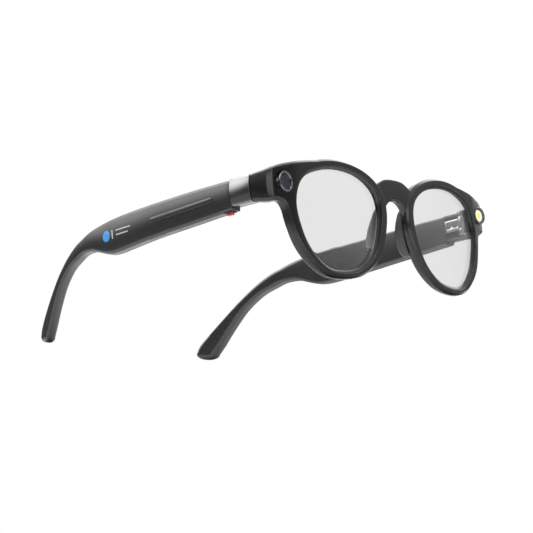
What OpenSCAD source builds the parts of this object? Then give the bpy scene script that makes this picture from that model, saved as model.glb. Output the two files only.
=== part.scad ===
// Camera spectacles with open-ear sound: front frame, lenses, two folding arms, all inner pieces.
// +Z up, front faces -Y, arms run back along +Y, millimetres, standing on the rims and the arm tips.

/* [Front] */
// Overall width across the end pieces
frame_w = 146; // [134:1:176]
// Free width between the two lens openings
bridge_w = 21.4; // [17:0.2:26]
// Height of a lens opening
lens_t = 41.7; // [34:0.1:50]
// Width of an end piece, from lens opening to outer side
end_w = 14.7; // [13.5:0.1:17]
// Depth of the rim from front to back
rim_t = 4.2; // [3.8:0.1:5.2]
// Face width of the rim above the lens
rim_top = 3.25; // [2.6:0.05:4.5]
// Face width of the rim below the lens
rim_bot = 2.3; // [1.9:0.05:3.5]
// Face width of the rim beside the lens
rim_side = 4.3; // [3.5:0.05:5]
// Radius of the front seen from above
wrap_r = 365; // [300:5:600]
// Backward lean of the rims in degrees
lean = 1.5; // [0:0.1:4]
// Lens thickness
lens_th = 1.9; // [1.6:0.1:2.1]

/* [Camera and light] */
// Outside diameter of the camera and light rings
eye_d = 8.2; // [7:0.1:8.6]
// Distance of the camera axis from the outer side
eye_in = 9.8; // [9.4:0.1:10.4]
// Height of the camera axis above the lens middle
eye_z = 11.9; // [11:0.1:12.4]

/* [Arms] */
// From the hinge line to the start of the ear bend
arm_straight = 81; // [72:1:98]
// Thickness of an arm
arm_th = 6.3; // [6:0.1:7.6]
// Length of the bright band behind the hinge
band_len = 9.9; // [9:0.1:14]
// Radius of the inward bend seen from above
bend_r = 199; // [180:1:400]
// Wall thickness of the arm shell
wall = 1.4; // [1.2:0.05:1.6]
// Thickness of the inner arm cover
cover_t = 1.4; // [1.2:0.05:1.8]

/* [Hinge] */
// Radius of the hinge knuckles
knuckle_r = 1.8; // [1.6:0.05:1.9]
// Diameter of the hinge pin
pin_d = 1.4; // [1.2:0.05:1.6]
// Folding angle of the left arm for display
fold_left = 0; // [0:1:85]
// Folding angle of the right arm for display
fold_right = 0; // [0:1:72]

/* [Button] */
// Length of the button along the arm
btn_l = 2.6; // [2.2:0.1:3.2]
// Width of the button across the arm
btn_w = 1.8; // [1.6:0.1:2.2]
// Travel of the button
btn_travel = 0.45; // [0.3:0.05:0.5]

/* [Hidden] */
$fn = 72;
gap = 0.05;                     // clearance of seated pieces
seam = 0.06;                    // seam between arm shell and arm cover
run = 0.05;                     // running clearance of pin and button
lip = 0.8;                      // front lip that hides the lens edge
groove = 0.55;                  // depth of the lens groove
lens_d = 1.45;                  // depth of the lens behind the front
xo = frame_w / 2;               // outer side
lens_w = xo - end_w - bridge_w / 2;
lens_x = bridge_w / 2 + lens_w / 2;
lens_z = -0.85;
rest = lens_t / 2 - lens_z + rim_bot - 0.04;
turn_x = xo - 15.5;             // where the end piece turns back from the wrap
turn_y = front_y(turn_x);
fold_y = turn_y + 11.0424;      // hinge line
block_y = fold_y - 0.1;         // rear face of the end piece
arm_y = fold_y + 0.1;           // front face of the arm
band_end = arm_y + band_len;
xs = xo - 0.35;                 // outer side of the arm shell
xi = xo - arm_th - 0.2;         // inner side of arm and end piece
hinge_x = xi - knuckle_r - 0.3;
ear_y = fold_y + arm_straight;
bend_y = ear_y - 36.6;
in_r = bend_r + 6.5;
y_mid = (ear_y + 52.4 - 0.5) / 2;
seam_x = xi + cover_t;
cav_y0 = band_end + 1;
cav_y1 = ear_y - 4.6;
cav_x = xs - wall;              // outer side of the arm cavity
eye_x = xo - eye_in;
eye_r = eye_d / 2;
eye_y = turn_y + 0.1424;        // front of the camera ring
eye_end = eye_y + 4.1;          // rear of the camera ring
board_y = eye_end + 0.6;        // front of the boards behind the rings
light_r = eye_r - 0.55;         // radius of the light ring
house_y = fold_y - 4.3;         // rear of the housing behind the camera
btn_y = band_end + 2.85;
btn_x = xs - wall - 1.45;
k_low = [6.2, 8.6];             // height range of the lower knuckle
k_mid = [8.7, 13.5];
k_top = [13.6, 15.9];

/* ---- helpers ---- */
function unit(v) = v / norm(v);
function cr(a, b, c, d, t) =
  0.5 * (2 * b + (c - a) * t + (2 * a - 5 * b + 4 * c - d) * t * t
  + (3 * b - a - 3 * c + d) * t * t * t);
function closed_curve(p, n) =
  let (m = len(p))
  [for (i = [0 : m - 1]) for (j = [0 : n - 1])
    cr(p[(i + m - 1) % m], p[i], p[(i + 1) % m], p[(i + 2) % m], j / n)];
function open_curve(p, n) =
  let (m = len(p))
  concat([for (i = [0 : m - 2]) for (j = [0 : n - 1])
    cr(p[max(i - 1, 0)], p[i], p[i + 1], p[min(i + 2, m - 1)], j / n)], [p[m - 1]]);
function out_n(p, i, c) =
  let (m = len(p), t = p[(i + 1) % m] - p[(i + m - 1) % m], n = unit([t[1], -t[0]]))
  n * (p[i] - c) > 0 ? n : -n;
function grow(p, d, c) = [for (i = [0 : len(p) - 1]) p[i] + d * out_n(p, i, c)];
function rim_w(n) = n[0] * n[0] * rim_side + n[1] * n[1] * (n[1] > 0 ? rim_top : rim_bot);
function grow_rim(p, c) =
  [for (i = [0 : len(p) - 1]) let (n = out_n(p, i, c)) p[i] + rim_w(n) * n];
function back(p) = [for (i = [len(p) - 1 : -1 : 0]) p[i]];

// Lens outline as fractions of its width and height, outer end first, going down
lens_shape = [
  [0.5, 0.128], [0.452, -0.147], [0.353, -0.339], [0.195, -0.474], [0.021, -0.5],
  [-0.179, -0.459], [-0.347, -0.33], [-0.452, -0.131], [-0.5, 0.128], [-0.447, 0.318],
  [-0.273, 0.447], [-0.021, 0.5], [0.221, 0.471], [0.42, 0.363]
];
lens_c = [lens_x, lens_z];
lens_curve = closed_curve([for (q = lens_shape) lens_c + [q[0] * lens_w, q[1] * lens_t]], 5);

// Upper and lower edge of the arm seen from the side, as [y, z]
arm_edge = open_curve([
  [band_end + 0.2, 16.1], [fold_y + 0.36 * arm_straight, 15.9],
  [fold_y + 0.61 * arm_straight, 15.2], [ear_y - 16.6, 14.6], [ear_y - 4.6, 13.9],
  [ear_y + 4.4, 12.8], [ear_y + 11.4, 11], [ear_y + 17.4, 8.9], [ear_y + 23.4, 5.8],
  [ear_y + 28.4, 2.4], [ear_y + 33.4, -0.06 * rest], [ear_y + 43.4, -0.44 * rest],
  [ear_y + 48.1, -0.63 * rest], [ear_y + 51.7, -0.8 * rest],
  [ear_y + 52.3, -0.9 * rest], [ear_y + 51, -0.98 * rest], [ear_y + 48.8, -rest],
  [ear_y + 46.2, -0.96 * rest], [ear_y + 44, -0.87 * rest], [ear_y + 41.2, -0.71 * rest],
  [ear_y + 36.7, -0.47 * rest], [ear_y + 32.1, -0.24 * rest], [ear_y + 27.4, -1.8],
  [ear_y + 22.9, 1.1], [ear_y + 16.9, 3.2], [ear_y + 10.8, 4.5], [ear_y + 5.6, 3.9],
  [ear_y + 0.2, 1.9], [ear_y - 5, 0.45], [ear_y - 10, 0.35],
  [fold_y + 0.795 * arm_straight, 0.8], [fold_y + 0.51 * arm_straight, 2.3],
  [fold_y + 0.31 * arm_straight, 3.2], [band_end + 1.2, 4]
], 3);
arm_top = [for (i = [0 : 21]) arm_edge[i]];
arm_low = [for (i = [len(arm_edge) - 1 : -1 : len(arm_edge) - 25]) arm_edge[i]];
function z_top(y) = lookup(y, arm_top);
function z_low(y) = lookup(y, arm_low);
function bend_x(y) = y <= bend_y ? 0 : bend_r - sqrt(bend_r * bend_r - (y - bend_y) * (y - bend_y));
function bend_a(y) = y <= bend_y ? 0 : asin((y - bend_y) / bend_r);

module place() translate([0, -y_mid, rest]) children();
module both() {
  children();
  mirror([1, 0, 0]) children();
}
// flat outline in x and z, thickened from y0 to y1
module deep(y0, y1) translate([0, y1, 0]) rotate([90, 0, 0]) linear_extrude(height = y1 - y0) children();
// flat outline in y and z, thickened from x0 to x1
module across(x0, x1) translate([x0, 0, 0]) rotate([90, 0, 90]) linear_extrude(height = x1 - x0) children();
module box(x0, x1, y0, y1, z0, z1) translate([x0, y0, z0]) cube([x1 - x0, y1 - y0, z1 - z0]);
module rod_x(x0, x1, y, z, r) translate([x0, y, z]) rotate([0, 90, 0]) cylinder(h = x1 - x0, r = r);
module rod_y(y0, y1, x, z, r) translate([x, y1, z]) rotate([90, 0, 0]) cylinder(h = y1 - y0, r = r);
module rod_z(z0, z1, x, y, r) translate([x, y, z0]) cylinder(h = z1 - z0, r = r);
module leaned() rotate([lean, 0, 0]) children();
// layer between two depths behind the curved front
module layer(d0, d1) {
  difference() {
    translate([0, wrap_r, -60]) cylinder(h = 120, r = wrap_r - d0, $fn = 360);
    translate([0, wrap_r, -61]) cylinder(h = 122, r = wrap_r - d1, $fn = 360);
  }
}
// the side folded about its hinge, for display
module arm_pose(a) translate([hinge_x, fold_y, 0]) rotate([0, 0, a]) translate([-hinge_x, -fold_y, 0]) children();
module at_arm(y) translate([xs - bend_x(y), y, 0]) rotate([0, 0, bend_a(y)]) translate([-xs, 0, 0]) children();

/* ---- front ---- */
module lens_2d(d) polygon(grow(lens_curve, d, lens_c));
module rim_2d() polygon(grow_rim(lens_curve, lens_c));
end_top = open_curve([
  [lens_x + 12, lens_t / 2 + 1], [xo - 17, 20.6], [xo - 11, 19], [xo - 6, 18.1], [xo, 17.4]
], 4);
end_low = open_curve([
  [xo, 5.1], [xo - 6.4, 4.7], [xo - 8.9, 3.6], [xo - 10.7, 0.6], [xo - 12.4, -4.4]
], 4);
module end_2d() polygon(concat([[lens_x + 12, 0]], end_top, end_low, [[xo - 20, -4]]));
bridge_top = open_curve([[-12, 15], [-8.2, 16.6], [-4.5, 18], [0, 18.3], [4.5, 18], [8.2, 16.6], [12, 15]], 4);
bridge_low = open_curve([[12, 3], [7.4, 5.2], [5.4, 8], [2.8, 9.8], [0, 10.3], [-2.8, 9.8], [-5.4, 8], [-7.4, 5.2],
  [-12, 3]], 4);
module bridge_2d() polygon(concat(bridge_top, bridge_low));
function front_y(x) = wrap_r - sqrt(wrap_r * wrap_r - x * x);
// the end piece turns back from the wrap, then over a flat corner to the side
corner_front = [xo - 4.8, turn_y + 3.1];
corner_back = corner_front + [1.9, 1.95];
module end_trim() {
  translate([0, 0, -30]) linear_extrude(height = 70) polygon([
    [turn_x, turn_y], corner_front, corner_back, [xo, block_y], [xo + 6, block_y], [xo + 6, -8], [turn_x, -8]
  ]);
}
// block of the end piece, running back to the hinge line
module end_block() {
  intersection() {
    translate([0, 0, 3]) linear_extrude(height = 16) union() {
      translate([xi, corner_front[1]]) square([xo - xi, block_y - corner_front[1]]);
      translate([eye_x - 3.6, turn_y + 2.5]) square([xi - eye_x + 3.7, house_y - turn_y - 2.5]);
    }
    across(xo - 20, xo + 1) polygon([
      [4, 4.7], [4, 17.8], [corner_back[1], 17.7], [block_y, 16.3], [block_y, 5.5], [9, 4.8]
    ]);
  }
}
flex_mid = open_curve([
  [-xo + 15.3, 14.2], [-xo + 17, 17.5], [-xo + 22.5, lens_z + 0.5 * lens_t + 0.25],
  [-lens_x, lens_z + 0.5 * lens_t + 1.7], [-lens_x + 12, lens_z + 0.44 * lens_t + 2.4],
  [-bridge_w / 2 - 1, lens_z + 0.5 * lens_t - 4.2], [-5.5, 14.6], [0, 14.8], [5.5, 14.6],
  [bridge_w / 2 + 1, lens_z + 0.5 * lens_t - 4.2], [lens_x - 12, lens_z + 0.44 * lens_t + 2.4],
  [lens_x, lens_z + 0.5 * lens_t + 1.7], [xo - 22.5, lens_z + 0.5 * lens_t + 0.25],
  [xo - 17, 17.5], [xo - 15.3, 14.2]
], 4);
function side_of(p, s) =
  [for (i = [0 : len(p) - 1])
    let (t = p[min(i + 1, len(p) - 1)] - p[max(i - 1, 0)]) p[i] + s * unit([-t[1], t[0]])];
module strip_2d(w) polygon(concat(side_of(flex_mid, w / 2), back(side_of(flex_mid, -w / 2))));
module eye_hole(r) rod_y(-6, eye_end + gap, eye_x, eye_z, r + gap);
module leaf_pocket_front() {
  box(xi - 0.01, xi + 0.5, house_y, block_y + 1, k_low[0] - gap, k_top[1] + gap);
}
module front_frame() place() color([0.09, 0.09, 0.1]) {
  difference() {
    union() {
      leaned() both() intersection() {
        deep(-4, 20) union() {
          rim_2d();
          end_2d();
        }
        layer(0, rim_t);
      }
      leaned() intersection() {
        deep(-4, 20) bridge_2d();
        layer(1.1, rim_t);
      }
      both() end_block();
    }
    both() end_trim();
    leaned() both() lens_seat();
    leaned() intersection() {
      deep(-6, 20) strip_2d(1.5);
      layer(rim_t - 0.9, rim_t + 3);
    }
    mirror([1, 0, 0]) eye_hole(eye_r);
    eye_hole(light_r);
    both() box(eye_x - 2.7, eye_x + 2.5, eye_end - 0.1, house_y - 1, eye_z - 4, eye_z + 3.2);
    both() box(eye_x - 2.9, eye_x + 2.9, house_y - 1, house_y + 1, eye_z - 5, eye_z + 3.6);
    both() leaf_pocket_front();
    both() for (z = leaf_screw_z) rod_x(xi - 1, xi + 3.5, leaf_screw_y, z, 0.6 + gap);
    leaned() both() for (z = pad_peg_z) rod_y(pad_peg_y, 12, pad_peg_x(z), z, 0.7 + gap);
  }
}
leaf_screw_y = house_y + 1.45;
leaf_screw_z = [7.6, 14.5];
// opening of a rim: shallow front step, narrow lip, groove for the lens edge, wider rear
module lens_seat() {
  intersection() {
    deep(-6, 20) lens_2d(0);
    layer(-4, 0.6);
  }
  deep(-6, 20) lens_2d(-lip);
  intersection() {
    deep(-6, 20) lens_2d(groove + gap);
    layer(lens_d, lens_d + lens_th + 2 * gap);
  }
  intersection() {
    deep(-6, 20) lens_2d(-0.1);
    layer(lens_d, rim_t + 6);
  }
}
module lens() leaned() intersection() {
  deep(-4, 20) lens_2d(groove);
  layer(lens_d + gap, lens_d + gap + lens_th);
}
module lens_left() place() color([0.85, 0.87, 0.88, 0.35]) lens();
module lens_right() place() color([0.85, 0.87, 0.88, 0.35]) mirror([1, 0, 0]) lens();

pad_peg_z = [-7, 1];
pad_peg_y = rim_t - 1.4;
function pad_peg_x(z) = bridge_w / 2 - 1.9 + (z < -3 ? 1.15 : 0);
// fan shaped pad: side outline in y and z, thickness across, leaning outwards towards the face
pad_side = open_curve([
  [rim_t + 0.15, 8], [rim_t + 1.1, 7.6], [rim_t + 3, 4.2], [rim_t + 5, -1.2], [rim_t + 5.5, -5.6],
  [rim_t + 4.8, -9], [rim_t + 2.6, -10.6], [rim_t + 0.15, -10.4]
], 4);
pad_front = open_curve([
  [bridge_w / 2 - 4.4, 8.2], [bridge_w / 2 - 4.5, 3], [bridge_w / 2 - 3.7, -3], [bridge_w / 2 - 2, -8],
  [bridge_w / 2 - 0.4, -11]
], 4);
module nose_pad() leaned() {
  intersection() {
    across(bridge_w / 2 - 6, bridge_w / 2 + 6) polygon(pad_side);
    translate([0, rim_t, 0]) rotate([0, 0, -16]) translate([0, -rim_t, 0])
      deep(-2, 20) polygon(concat(pad_front, back([for (q = pad_front) q + [2.9, 0]])));
    layer(rim_t + 0.12, rim_t + 12);
  }
  for (z = pad_peg_z) rod_y(pad_peg_y + 0.1, rim_t + 1.4, pad_peg_x(z), z, 0.7);
}
module nose_pad_left() place() color([0.12, 0.12, 0.13]) nose_pad();
module nose_pad_right() place() color([0.12, 0.12, 0.13]) mirror([1, 0, 0]) nose_pad();
module front_flex() place() color([0.75, 0.45, 0.15]) leaned() intersection() {
  deep(-4, 20) strip_2d(1.3);
  layer(rim_t - 0.88, rim_t - 0.68);
}
module brow_cover() place() color([0.1, 0.1, 0.11]) leaned() intersection() {
  deep(-4, 20) strip_2d(1.5 - 2 * gap);
  layer(rim_t - 0.64, rim_t);
}

/* ---- camera on the right, light on the left ---- */
module ring(r) difference() {
  rod_y(eye_y, eye_end, eye_x, eye_z, r);
  rod_y(eye_y - 1, eye_y + 1.7, eye_x, eye_z, r - 1.05);
  rod_y(eye_y, eye_end + 1, eye_x, eye_z, r - 1.9);
  for (i = [0 : 2]) translate([eye_x, eye_y + 0.6 + 0.5 * i, eye_z]) rotate([90, 0, 0]) rotate_extrude()
    translate([r - 0.12, 0]) square([0.4, 0.22]);
}
module window_disc(r) rod_y(eye_y + 0.6, eye_y + 1.7 - gap, eye_x, eye_z, r - 1.05 - gap);
module board_eye() box(eye_x - 2.6, eye_x + 2.4, board_y, board_y + 0.7, eye_z - 3.9, eye_z + 3.1);
module chip_eye(w) box(eye_x - w, eye_x + w, eye_end + 0.1, board_y + 0.1, eye_z - w, eye_z + w);
module camera_ring() place() mirror([1, 0, 0]) color([0.16, 0.16, 0.17]) ring(eye_r);
module camera_window() place() mirror([1, 0, 0]) color([0.2, 0.25, 0.4, 0.5]) window_disc(eye_r);
module camera_barrel() place() mirror([1, 0, 0]) color([0.05, 0.05, 0.06]) difference() {
  rod_y(eye_y + 1.75, eye_end + 0.05, eye_x, eye_z, eye_r - 1.9 - gap);
  rod_y(eye_y + 1, eye_end - 0.6, eye_x, eye_z, 1.45);
  rod_y(eye_y + 1, eye_y + 2.1, eye_x, eye_z, 1.8);
}
module camera_lens() place() mirror([1, 0, 0]) color([0.1, 0.15, 0.4]) intersection() {
  translate([eye_x, eye_end + 0.15, eye_z]) sphere(r = 2.2);
  rod_y(eye_y + 1.8, eye_end - 0.65, eye_x, eye_z, 1.4);
}
module camera_board() place() mirror([1, 0, 0]) color([0.1, 0.35, 0.2]) union() {
  board_eye();
  chip_eye(2);
}
module light_ring() place() color([0.16, 0.16, 0.17]) ring(light_r);
module light_window() place() color([0.96, 0.94, 0.72]) window_disc(light_r);
module light_emitter() place() color([0.95, 0.85, 0.3]) union() {
  rod_y(eye_y + 2.4, eye_end + 0.05, eye_x, eye_z, light_r - 2.1);
  box(eye_x - 0.8, eye_x + 0.8, eye_y + 1.8, eye_y + 2.5, eye_z - 0.8, eye_z + 0.8);
}
module light_board() place() color([0.1, 0.35, 0.2]) union() {
  board_eye();
  chip_eye(1.5);
}
module end_cover() box(eye_x - 2.9 + gap, eye_x + 2.9 - gap, house_y - 1, house_y, eye_z - 5 + gap, eye_z + 3.6 - gap);
module end_cover_left() place() color([0.11, 0.11, 0.12]) end_cover();
module end_cover_right() place() color([0.11, 0.11, 0.12]) mirror([1, 0, 0]) end_cover();

/* ---- hinges ---- */
module front_leaf() difference() {
  union() {
    box(xi - 0.9, xi + 0.5 - gap, house_y + 0.15, block_y - 0.1, k_low[0], k_top[1]);
    rod_z(k_low[0], k_low[1], hinge_x, fold_y, knuckle_r);
    rod_z(k_top[0], k_top[1], hinge_x, fold_y, knuckle_r);
  }
  rod_z(k_mid[0] - 0.1, k_mid[1] + 0.1, hinge_x, fold_y, knuckle_r + 0.35);
  rod_z(0, k_low[1] + 1, hinge_x, fold_y, pin_d / 2);
  rod_z(k_top[0] - 1, k_top[1] - 0.5, hinge_x, fold_y, pin_d / 2);
  rod_z(0, k_low[0] + 0.6, hinge_x, fold_y, 1.25);
  for (z = leaf_screw_z) rod_x(xi - 2, xi + 1, leaf_screw_y, z, 0.6);
  for (z = leaf_screw_z) rod_x(xi - 2, xi - 0.4, leaf_screw_y, z, 1.1 + gap);
}
module front_leaf_left() place() color([0.75, 0.76, 0.78]) front_leaf();
module front_leaf_right() place() color([0.75, 0.76, 0.78]) mirror([1, 0, 0]) front_leaf();
module leaf_screw(y, z) difference() {
  union() {
    rod_x(xi - 0.85, xi - 0.4, y, z, 1.1);
    rod_x(xi - 0.5, xi + 3.3, y, z, 0.6);
  }
  box(xi - 1, xi - 0.65, y - 0.8, y + 0.8, z - 0.12, z + 0.12);
}
module front_leaf_screws() place() color([0.7, 0.71, 0.73]) both() for (z = leaf_screw_z) leaf_screw(leaf_screw_y, z);
module hinge_pin() difference() {
  union() {
    rod_z(k_low[0] - 0.1, k_low[0] + 0.6, hinge_x, fold_y, 1.25 - gap);
    rod_z(k_low[0] + 0.5, k_top[1] - 0.5 - gap, hinge_x, fold_y, pin_d / 2 - 0.01);
  }
  box(hinge_x - 0.9, hinge_x + 0.9, fold_y - 0.13, fold_y + 0.13, k_low[0] - 1, k_low[0] + 0.2);
}
module hinge_pin_left() place() color([0.7, 0.71, 0.73]) hinge_pin();
module hinge_pin_right() place() color([0.7, 0.71, 0.73]) mirror([1, 0, 0]) hinge_pin();
arm_screw_y = [arm_y + 4.4, arm_y + 7.6];
arm_screw_z = (k_mid[0] + k_mid[1]) / 2;
module arm_leaf() difference() {
  union() {
    box(xi - 0.9, xi + 0.5 - gap, arm_y + 0.1, arm_y + 9.3, k_mid[0], k_mid[1]);
    rod_z(k_mid[0], k_mid[1], hinge_x, fold_y, knuckle_r);
  }
  rod_z(0, 20, hinge_x, fold_y, pin_d / 2 + run);
  for (y = arm_screw_y) rod_x(xi - 2, xi + 1, y, arm_screw_z, 0.6);
  for (y = arm_screw_y) rod_x(xi - 2, xi - 0.4, y, arm_screw_z, 1.1 + gap);
}
module left_arm() place() arm_pose(fold_left) children();
module right_arm() place() mirror([1, 0, 0]) arm_pose(fold_right) children();
module arm_leaf_left() left_arm() color([0.75, 0.76, 0.78]) arm_leaf();
module arm_leaf_right() right_arm() color([0.75, 0.76, 0.78]) arm_leaf();
module arm_leaf_screws() for (y = arm_screw_y) leaf_screw(y, arm_screw_z);
module arm_leaf_screws_left() left_arm() color([0.7, 0.71, 0.73]) arm_leaf_screws();
module arm_leaf_screws_right() right_arm() color([0.7, 0.71, 0.73]) arm_leaf_screws();

/* ---- arms ---- */
// plan of the arm between two depths from its inner side and outer side
module plan_2d(x_in, x_out) {
  difference() {
    union() {
      translate([x_in, arm_y]) square([x_out - x_in, bend_y - arm_y]);
      intersection() {
        translate([x_out - bend_r, bend_y]) circle(r = bend_r, $fn = 360);
        translate([xo - 60, bend_y]) square([80, 120]);
      }
    }
    intersection() {
      translate([x_in - in_r, bend_y]) circle(r = in_r, $fn = 360);
      translate([xo - 90, bend_y - 0.01]) square([110, 120]);
    }
  }
}
module plan(x_in, x_out) translate([0, 0, -40]) linear_extrude(height = 70) plan_2d(x_in, x_out);
module arm_side_2d() polygon(concat([[arm_y, 5.6], [arm_y, 16.2]], arm_edge, [[band_end + 0.2, 4.1], [band_end, 5.3]]));
module arm_block() intersection() {
  across(xo - 60, xo + 1) arm_side_2d();
  plan(xi, xs);
}
function samples(y0, y1, n) = [for (i = [0 : n]) y0 + (y1 - y0) * i / n];
// side outline kept a distance inside the arm edges
module inside_2d(y0, y1, d) polygon(concat(
  [for (y = samples(y0, y1, 16)) [y, z_top(y) - d]],
  back([for (y = samples(y0, y1, 16)) [y, z_low(max(y, band_end + 1.3)) + d]])
));
module cover_zone() intersection() {
  plan(xi - 1, seam_x);
  across(xo - 60, xo + 1) polygon([[cav_y0 - 0.6, -5], [cav_y0 - 0.6, 25], [cav_y1 + 2.2, 25], [cav_y1 + 2.2, -5]]);
}
boss_y = [cav_y0 + 6.4, fold_y + 0.52 * arm_straight];
boss_z = 8.6;
end_screw_y = cav_y1 + 1.1;
module cavity() intersection() {
  across(xo - 60, xo + 1) inside_2d(cav_y0, cav_y1, wall);
  plan(seam_x - 1, cav_x);
}
core_pts = [for (q = [[3, 7.6], [10.5, 7.6], [17, 6], [24, 2.4], [31, -0.11 * rest], [37, -0.31 * rest], [42.5, -0.55 * rest]])
  [ear_y + q[0], q[1]]];
module core_2d(w) {
  p = open_curve(core_pts, 3);
  polygon(concat(side_of(p, w / 2), back(side_of(p, -w / 2))));
}
module core_solid(w) intersection() {
  across(xo - 60, xo + 1) core_2d(w);
  plan((xi + xs) / 2 - w / 2, (xi + xs) / 2 + w / 2 - 0.5);
}
module band_2d(d) polygon([
  [arm_y + (d > 0 ? -1 : 0), 5.6 - 2 * d], [arm_y + (d > 0 ? -1 : 0), 16.2 + 2 * d],
  [band_end + d, 16.1 + 2 * d], [band_end + d, 5.2 - 2 * d]
]);
module band_recess() difference() {
  across(xi + 2.4, xo + 1) band_2d(gap);
  across(xi + 2, xo - 0.85 - gap) polygon([[arm_y - 2, 6.4], [arm_y - 2, 15.4], [band_end + 2, 15.3], [band_end + 2, 6]]);
}
module band() difference() {
  intersection() {
    across(xi + 2.4 + gap, xo) band_2d(0);
    translate([0, arm_y + 20, 10.8]) rotate([90, 0, 0]) translate([0, 0, -20])
      union() {
        translate([xo - 14, 0, 0]) cylinder(h = 60, r = 14, $fn = 180);
        translate([xi, -8, 0]) cube([4.6, 16, 60]);
      }
  }
  across(xi + 2, xo - 0.85) polygon([[arm_y - 2, 6.35], [arm_y - 2, 15.45], [band_end + 2, 15.35], [band_end + 2, 5.95]]);
}
module arm_shell() difference() {
  union() {
    difference() {
      arm_block();
      cavity();
      cover_zone();
    }
    for (y = boss_y) intersection() {
      rod_x(seam_x + seam, xs - 0.8, y, boss_z, 1.7);
      plan(xi, xs - 0.5);
    }
  }
  band_recess();
  box(xi - 1, xi + 0.5, arm_y - 1, arm_y + 9.3 + gap, k_mid[0] - gap, k_mid[1] + gap);
  for (y = arm_screw_y) rod_x(xi - 1, xi + 3.5, y, arm_screw_z, 0.6 + gap);
  for (y = boss_y) rod_x(xi - 1, xs - 1.4, y, boss_z, 0.55 + gap);
  at_arm(end_screw_y) rod_x(xi - 1, xi + 4, 0, boss_z - 0.6, 0.55 + gap);
  core_solid(1.6 + 2 * gap);
  at_arm(spk_y) box(cav_x - 2.3, cav_x - 0.9, -4, 4, -2, 5);
}
module arm_cover() difference() {
  intersection() {
    arm_block();
    plan(xi - 1, seam_x - seam);
    across(xo - 60, xo + 1) polygon([
      [cav_y0 - 0.6 + seam, -5], [cav_y0 - 0.6 + seam, 25], [cav_y1 + 2.2 - seam, 25], [cav_y1 + 2.2 - seam, -5]
    ]);
  }
  for (y = boss_y) {
    rod_x(xi - 1, xi + 3, y, boss_z, 0.55 + gap);
    rod_x(xi - 1, xi + 0.6, y, boss_z, 1.1 + gap);
  }
  at_arm(end_screw_y) {
    rod_x(xi - 1, xi + 3, 0, boss_z - 0.6, 0.55 + gap);
    rod_x(xi - 1, xi + 0.6, 0, boss_z - 0.6, 1.1 + gap);
  }
}
module cover_screw(y, z, n) difference() {
  union() {
    rod_x(xi + 0.1, xi + 0.6, y, z, 1.1);
    rod_x(xi + 0.5, xi + n, y, z, 0.55);
  }
  box(xi, xi + 0.3, y - 0.8, y + 0.8, z - 0.12, z + 0.12);
}
module cover_screws() union() {
  for (y = boss_y) cover_screw(y, boss_z, 3.9);
  at_arm(end_screw_y) cover_screw(0, boss_z - 0.6, 3.9);
}
spk_y = bend_y + 5.5;
module speaker() at_arm(spk_y) union() {
  box(seam_x + 0.3, cav_x - 0.45, -5.5, 5.5, z_low(spk_y) + wall + 1.1, z_low(spk_y) + wall + 7.6);
  rod_x(seam_x + 0.15, cav_x - 0.3, 0, z_low(spk_y) + wall + 4.4, 2.7);
}
module speaker_mesh() at_arm(spk_y) difference() {
  box(cav_x - 2.7, cav_x - 0.5, -4.5, 4.5, z_low(spk_y) + wall + 0.35, z_low(spk_y) + wall + 0.65);
  for (i = [-5 : 5]) box(cav_x - 2.1, cav_x - 1.1, i * 0.7 - 0.15, i * 0.7 + 0.15, -4, 8);
}

module arm_shell_left() left_arm() color([0.14, 0.14, 0.15]) arm_shell();
module arm_cover_left() left_arm() color([0.12, 0.12, 0.13]) arm_cover();
module cover_screws_left() left_arm() color([0.3, 0.3, 0.32]) cover_screws();
module band_left() left_arm() color([0.78, 0.79, 0.8]) band();
module ear_core_left() left_arm() color([0.6, 0.6, 0.62]) core_solid(1.6);
module speaker_left() left_arm() color([0.25, 0.25, 0.27]) speaker();
module speaker_mesh_left() left_arm() color([0.35, 0.35, 0.37]) speaker_mesh();
module sound_board() left_arm() color([0.1, 0.35, 0.2]) union() {
  box(seam_x + 0.4, seam_x + 1.1, boss_y[0] + 2.2, boss_y[0] + 17, 5.4, 13.8);
  box(seam_x + 1, seam_x + 1.9, boss_y[0] + 4, boss_y[0] + 9, 7, 12);
}
module battery() at_arm(cav_y1 - 10.2) box(seam_x + 0.45, cav_x - 0.5, -9, 9, 3.2, 11.4);
module battery_left() left_arm() color([0.55, 0.57, 0.6]) battery();

module touch_zone(x0, x1, d) {
  y0 = fold_y + 0.26 * arm_straight;
  y1 = fold_y + 0.6 * arm_straight;
  h = 0.95 + d;
  across(x0, x1) polygon(concat(
    [for (a = [90 : 15 : 270]) [y0 + h * cos(a), 9.9 + h * sin(a)]],
    [for (a = [-90 : 15 : 90]) [y1 + h * cos(a), 8.6 + h * sin(a)]]
  ));
}
module touch_bar() right_arm() color([0.2, 0.2, 0.21]) intersection() {
  touch_zone(xs - 0.5, xo, 0);
  plan(xi, xo);
}
module dot_zone(x0, x1, d) at_arm(ear_y - 4.3) rod_x(x0, x1, 0, 7.5, 1.9 + d);
module bar_zone(x0, x1, d) at_arm(ear_y - 8) box(x0, x1, -0.3 - d, 0.3 + d, 5.9 - d, 9.5 + d);
module line_zone(x0, x1, d) for (i = [0, 1]) at_arm(ear_y - 14.5)
  box(x0, x1, -4.2 + 1.6 * i - d, 4.2 + d, 8.6 - 1.8 * i - d, 9.1 - 1.8 * i + d);
module accent_dot() right_arm() color([0.15, 0.5, 0.85]) dot_zone(xs - 0.4, xs + 0.02, 0);
module accent_bar() right_arm() color([0.85, 0.86, 0.88]) bar_zone(xs - 0.4, xs + 0.02, 0);
module accent_lines() right_arm() color([0.55, 0.56, 0.58]) line_zone(xs - 0.4, xs + 0.02, 0);
module button_hole() box(btn_x - btn_w / 2 - 0.6 - gap, btn_x + btn_w / 2 + 0.6 + gap,
  btn_y - btn_l / 2 - 0.7 - gap, btn_y + btn_l / 2 + 0.7 + gap, 0, 5.4);
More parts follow.
